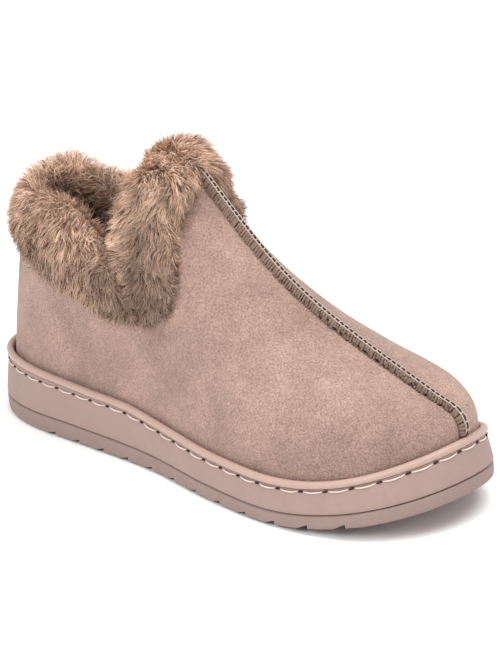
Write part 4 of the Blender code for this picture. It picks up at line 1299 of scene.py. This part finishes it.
def growFur(name, base, rule, seed, finish, keep, flow):
    # tapered blades that stand on base and lie as flow says
    rng = np.random.default_rng(seed)
    count = rule["hairs"]
    roots, grain = scatterRoots(base, count, keep, rng)
    lean, comb, scale, shade = flow(roots, grain)
    lean = lean + rule["unruly"] * rng.standard_normal(count)
    swirl = softNoise(roots, furBase["swirlScale"], seed + 1) * furBase["swirl"]
    comb = unit(comb + swirl + hair["combSpread"] * rng.standard_normal((count, 3)))
    comb = unit(comb - grain * (comb * grain).sum(axis=1, keepdims=True))
    length = rule["length"] * scale * np.clip(1 + hair["lengthSpread"] * rng.standard_normal(count), 0.4, 1.6)
    strays = rng.random(count) < rule["strays"]
    length = np.where(strays, length * hair["strayLength"], length)
    length = length * (1 + hair["lengthDrift"] * softNoise(roots, hair["driftScale"], seed + 2)[:, 0])
    path = hairPaths(roots, grain, lean, comb, length)
    owner = gatherLocks(path, rule, strays, rng)

    along = path[:, 3] - path[:, 0]
    side = unit(np.cross(along, unit(grain + hair["facingSpread"] * rng.standard_normal((count, 3)))))
    width = rule["width"] * np.clip(1 + hair["widthSpread"] * rng.standard_normal(count), 0.5, 1.6)[:, None]
    mesh = bladeMesh(name, path, side, width)
    tone = 1 + rule["toneSpread"] * rng.standard_normal(count)
    tone = tone + hair["lockTone"] * rng.standard_normal(count)[owner]
    wide = softNoise(roots, hair["wideScale"], seed + 3)[:, 1]
    fineNoise = softNoise(roots, hair["fineScale"], hair["fineSeed"])[:, 1]
    tone += hair["wideTone"] * wide + hair["fineTone"] * fineNoise
    # each hair's own tone times the painted light and shade that flow gives
    addLayer(mesh, "hairToneAndShade", np.repeat(np.clip(tone * shade, 0.35, 1.5), 7))

    # the fur is lit as one soft pile, with a little of each hair's own direction
    own = unit(np.cross(side, along))
    own = own * np.where((own * grain).sum(axis=1, keepdims=True) < 0, -1.0, 1.0)
    lit = hair["pileLight"] * grain + hair["ownLight"] * own + hair["alongLight"] * unit(along)
    lit = unit(lit + hair["lightSpread"] * rng.standard_normal((count, 3)))
    mesh.polygons.foreach_set("use_smooth", np.ones(count * 3, bool))
    mesh.normals_split_custom_set_from_vertices(np.repeat(lit, 7, axis=0).tolist())
    mesh.materials.append(finish)
    return addObject(name, mesh)


def buildUndercoat(lobe, shape, gapsTo, frames):
    # the CAD lobe smoothed and sunk, so that the hairs on it reach the photographed outline
    tree, outs, _, toes = frames
    coat = merged(shape["node"], lobe + "Undercoat")
    coat.data.materials.clear()
    coat.data.materials.append(finishes["undercoat"])
    raw = readPoints(coat.data)
    gaps = gapsTo(raw)
    setMode(coat, "EDIT")
    bpy.ops.mesh.select_all(action="SELECT")
    bpy.ops.mesh.vertices_smooth(factor=0.5, repeat=4)
    setMode(coat, "OBJECT")
    free = smoothStep((gaps - furBase["freeFrom"]) / furBase["freeOver"])[:, None]
    placed = raw * (1 - free) + readPoints(coat.data) * free
    writePoints(coat.data, placed)
    normals = readPoints(coat.data, "normal")
    near = nearest(tree, placed)
    y, z = placed[:, 1], placed[:, 2]
    level = np.abs((normals * outs[near]).sum(axis=1))
    ahead = (normals * toes[near]).sum(axis=1)
    heelSink = shape["towardsHeel"] * smoothStep((z - shape["heelFrom"]) / shape["heelOver"])
    edgeSink = np.where(ahead > 0, shape["towardsToe"], heelSink)
    edgeSink = np.where(np.abs(ahead) > furBase["facesAlong"], edgeSink, furBase["sink"])
    sink = edgeSink * (1 - level) + np.clip(gaps - furBase["flatTo"], 0, furBase["sink"]) * level
    if lobe == "front":
        off = (placed[:, 0] - parting["at"]) / parting["width"]
        low = 1 - smoothStep((z - parting["baseTop"]) / parting["topOver"])
        deep = smoothStep((gaps - parting["gapFrom"]) / parting["gapOver"])
        sink += parting["depth"] * np.exp(-off**2) * low * level * deep
    table = np.array(shape["topSink"])
    high = smoothStep((z - shape["top"]) / furBase["topOver"])
    sink = sink * (1 - high) + np.interp(y, table[:, 0], table[:, 1]) * high
    writePoints(coat.data, placed - normals * (sink * free[:, 0])[:, None])
    deselectAll()
    coat.select_set(True)
    bpy.context.view_layer.objects.active = coat
    bpy.ops.object.shade_smooth()
    return settle(coat, "fur", shape["node"])


def furFlow(lobe, shape, gapsTo, frames):
    tree, outs, ups, toes = frames

    def flow(roots, grain):
        # over the fold from the inside, up to its crest and down outside, with a drift to the notch
        near = nearest(tree, roots)
        out, up, toe = outs[near], ups[near], toes[near]
        height = roots[:, 2]
        outer = (grain * out).sum(axis=1, keepdims=True)
        outside, inner = np.clip(outer[:, 0], 0, 1), np.clip(-outer[:, 0], 0, 1)
        crest = np.clip((grain * up).sum(axis=1, keepdims=True), 0, 1)
        notchward = toe * shape["onward"] * smoothStep(np.abs(roots[:, 1:2]) / furBase["driftOver"])
        comb = out * crest - up * outer + notchward * shape["drift"] * outside[:, None]
        stand = smoothStep(crest[:, 0] / furBase["crestAt"])
        lean = furBase["lieOutside"] + (furBase["standTop"] - furBase["lieOutside"]) * stand
        lean = lean * (1 - inner) + furBase["lieInside"] * inner
        scale = smoothStep(gapsTo(roots) / furBase["fullLengthAt"])
        scale = furBase["rimLength"] + (1 - furBase["rimLength"]) * scale
        ahead = (grain * toe).sum(axis=1)
        ahead = np.clip(ahead, 0, 1) if lobe == "front" else np.abs(ahead)
        edge = smoothStep((ahead - furBase["edgeFrom"]) / furBase["edgeOver"])
        scale = scale * (1 - furBase["edgeShorter"] * edge)
        # painted light and shade: paler towards the top of the fold, darker low down
        upTop = smoothStep((height - furShade["from"]) / furShade["over"])
        shade = furShade["low"] + furShade["gain"] * upTop
        tufts = softNoise(roots, furShade["tuftScale"], furShade["tuftSeed"])[:, 0]
        tufts = smoothStep((tufts - furShade["tuftFrom"]) / furShade["tuftOver"])
        shade = shade * (1 - furShade["tuftDark"] * tufts * (1 - crest[:, 0]))
        if lobe == "front":
            # the hairs fall away to both sides of the parting, which is darkened with painted shade
            off = (roots[:, 0] - parting["at"]) / parting["width"]
            away = np.where(off > 0, parting["toeSide"], 1.0) * np.tanh(off)
            away = away * np.exp(-((np.abs(off) - 1) / parting["reach"]) ** 2)
            low = 1 - smoothStep((height - parting["combTop"]) / parting["topOver"])
            comb = comb + toe * (away * low * parting["comb"])[:, None]
            folded = low * outside
            shade = shade * (1 - parting["dark"] * np.exp(-off**2) * folded)
            shade = shade * (1 - parting["toeDark"] * smoothStep(off + 0.4) * folded)
        else:
            belt = np.exp(-(((height - furShade["beltAt"]) / furShade["beltWidth"]) ** 2)) * outside
            shade = shade * (1 - furShade["beltDark"] * belt)
        return lean, unit(comb), scale, shade

    return flow


def buildFur():
    suede = merged("upper", "furStop")
    against = surfaceOf(suede.data)
    bpy.data.objects.remove(suede, do_unlink=True)
    frames = shaftFrames()

    def gapsTo(places):
        return np.array([against.find_nearest(Vector(p))[3] for p in places])

    def keep(centres):
        return (gapsTo(centres) > furBase["bareTo"]).astype(float)

    for lobe, shape in lobeShape.items():
        coat = buildUndercoat(lobe, shape, gapsTo, frames)
        flow = furFlow(lobe, shape, gapsTo, frames)
        for layer, rule in furLayers.items():
            rule = {**rule, "hairs": int(rule["hairs"] * shape["share"])}
            name = lobe + layer + "Fur"
            pile = growFur(name, coat, rule, shape["seed"], furFinishes[layer], keep, flow)
            settle(pile, "fur", shape["node"])


print("sole")
buildLowerTier()
buildUpperTier()
print("welt")
buildPiping()
buildWeltStitches()
print("upper and footbed")
buildUpper()
buildInsole()
print("vamp seam")
buildSeam()
print("fur")
buildFur()
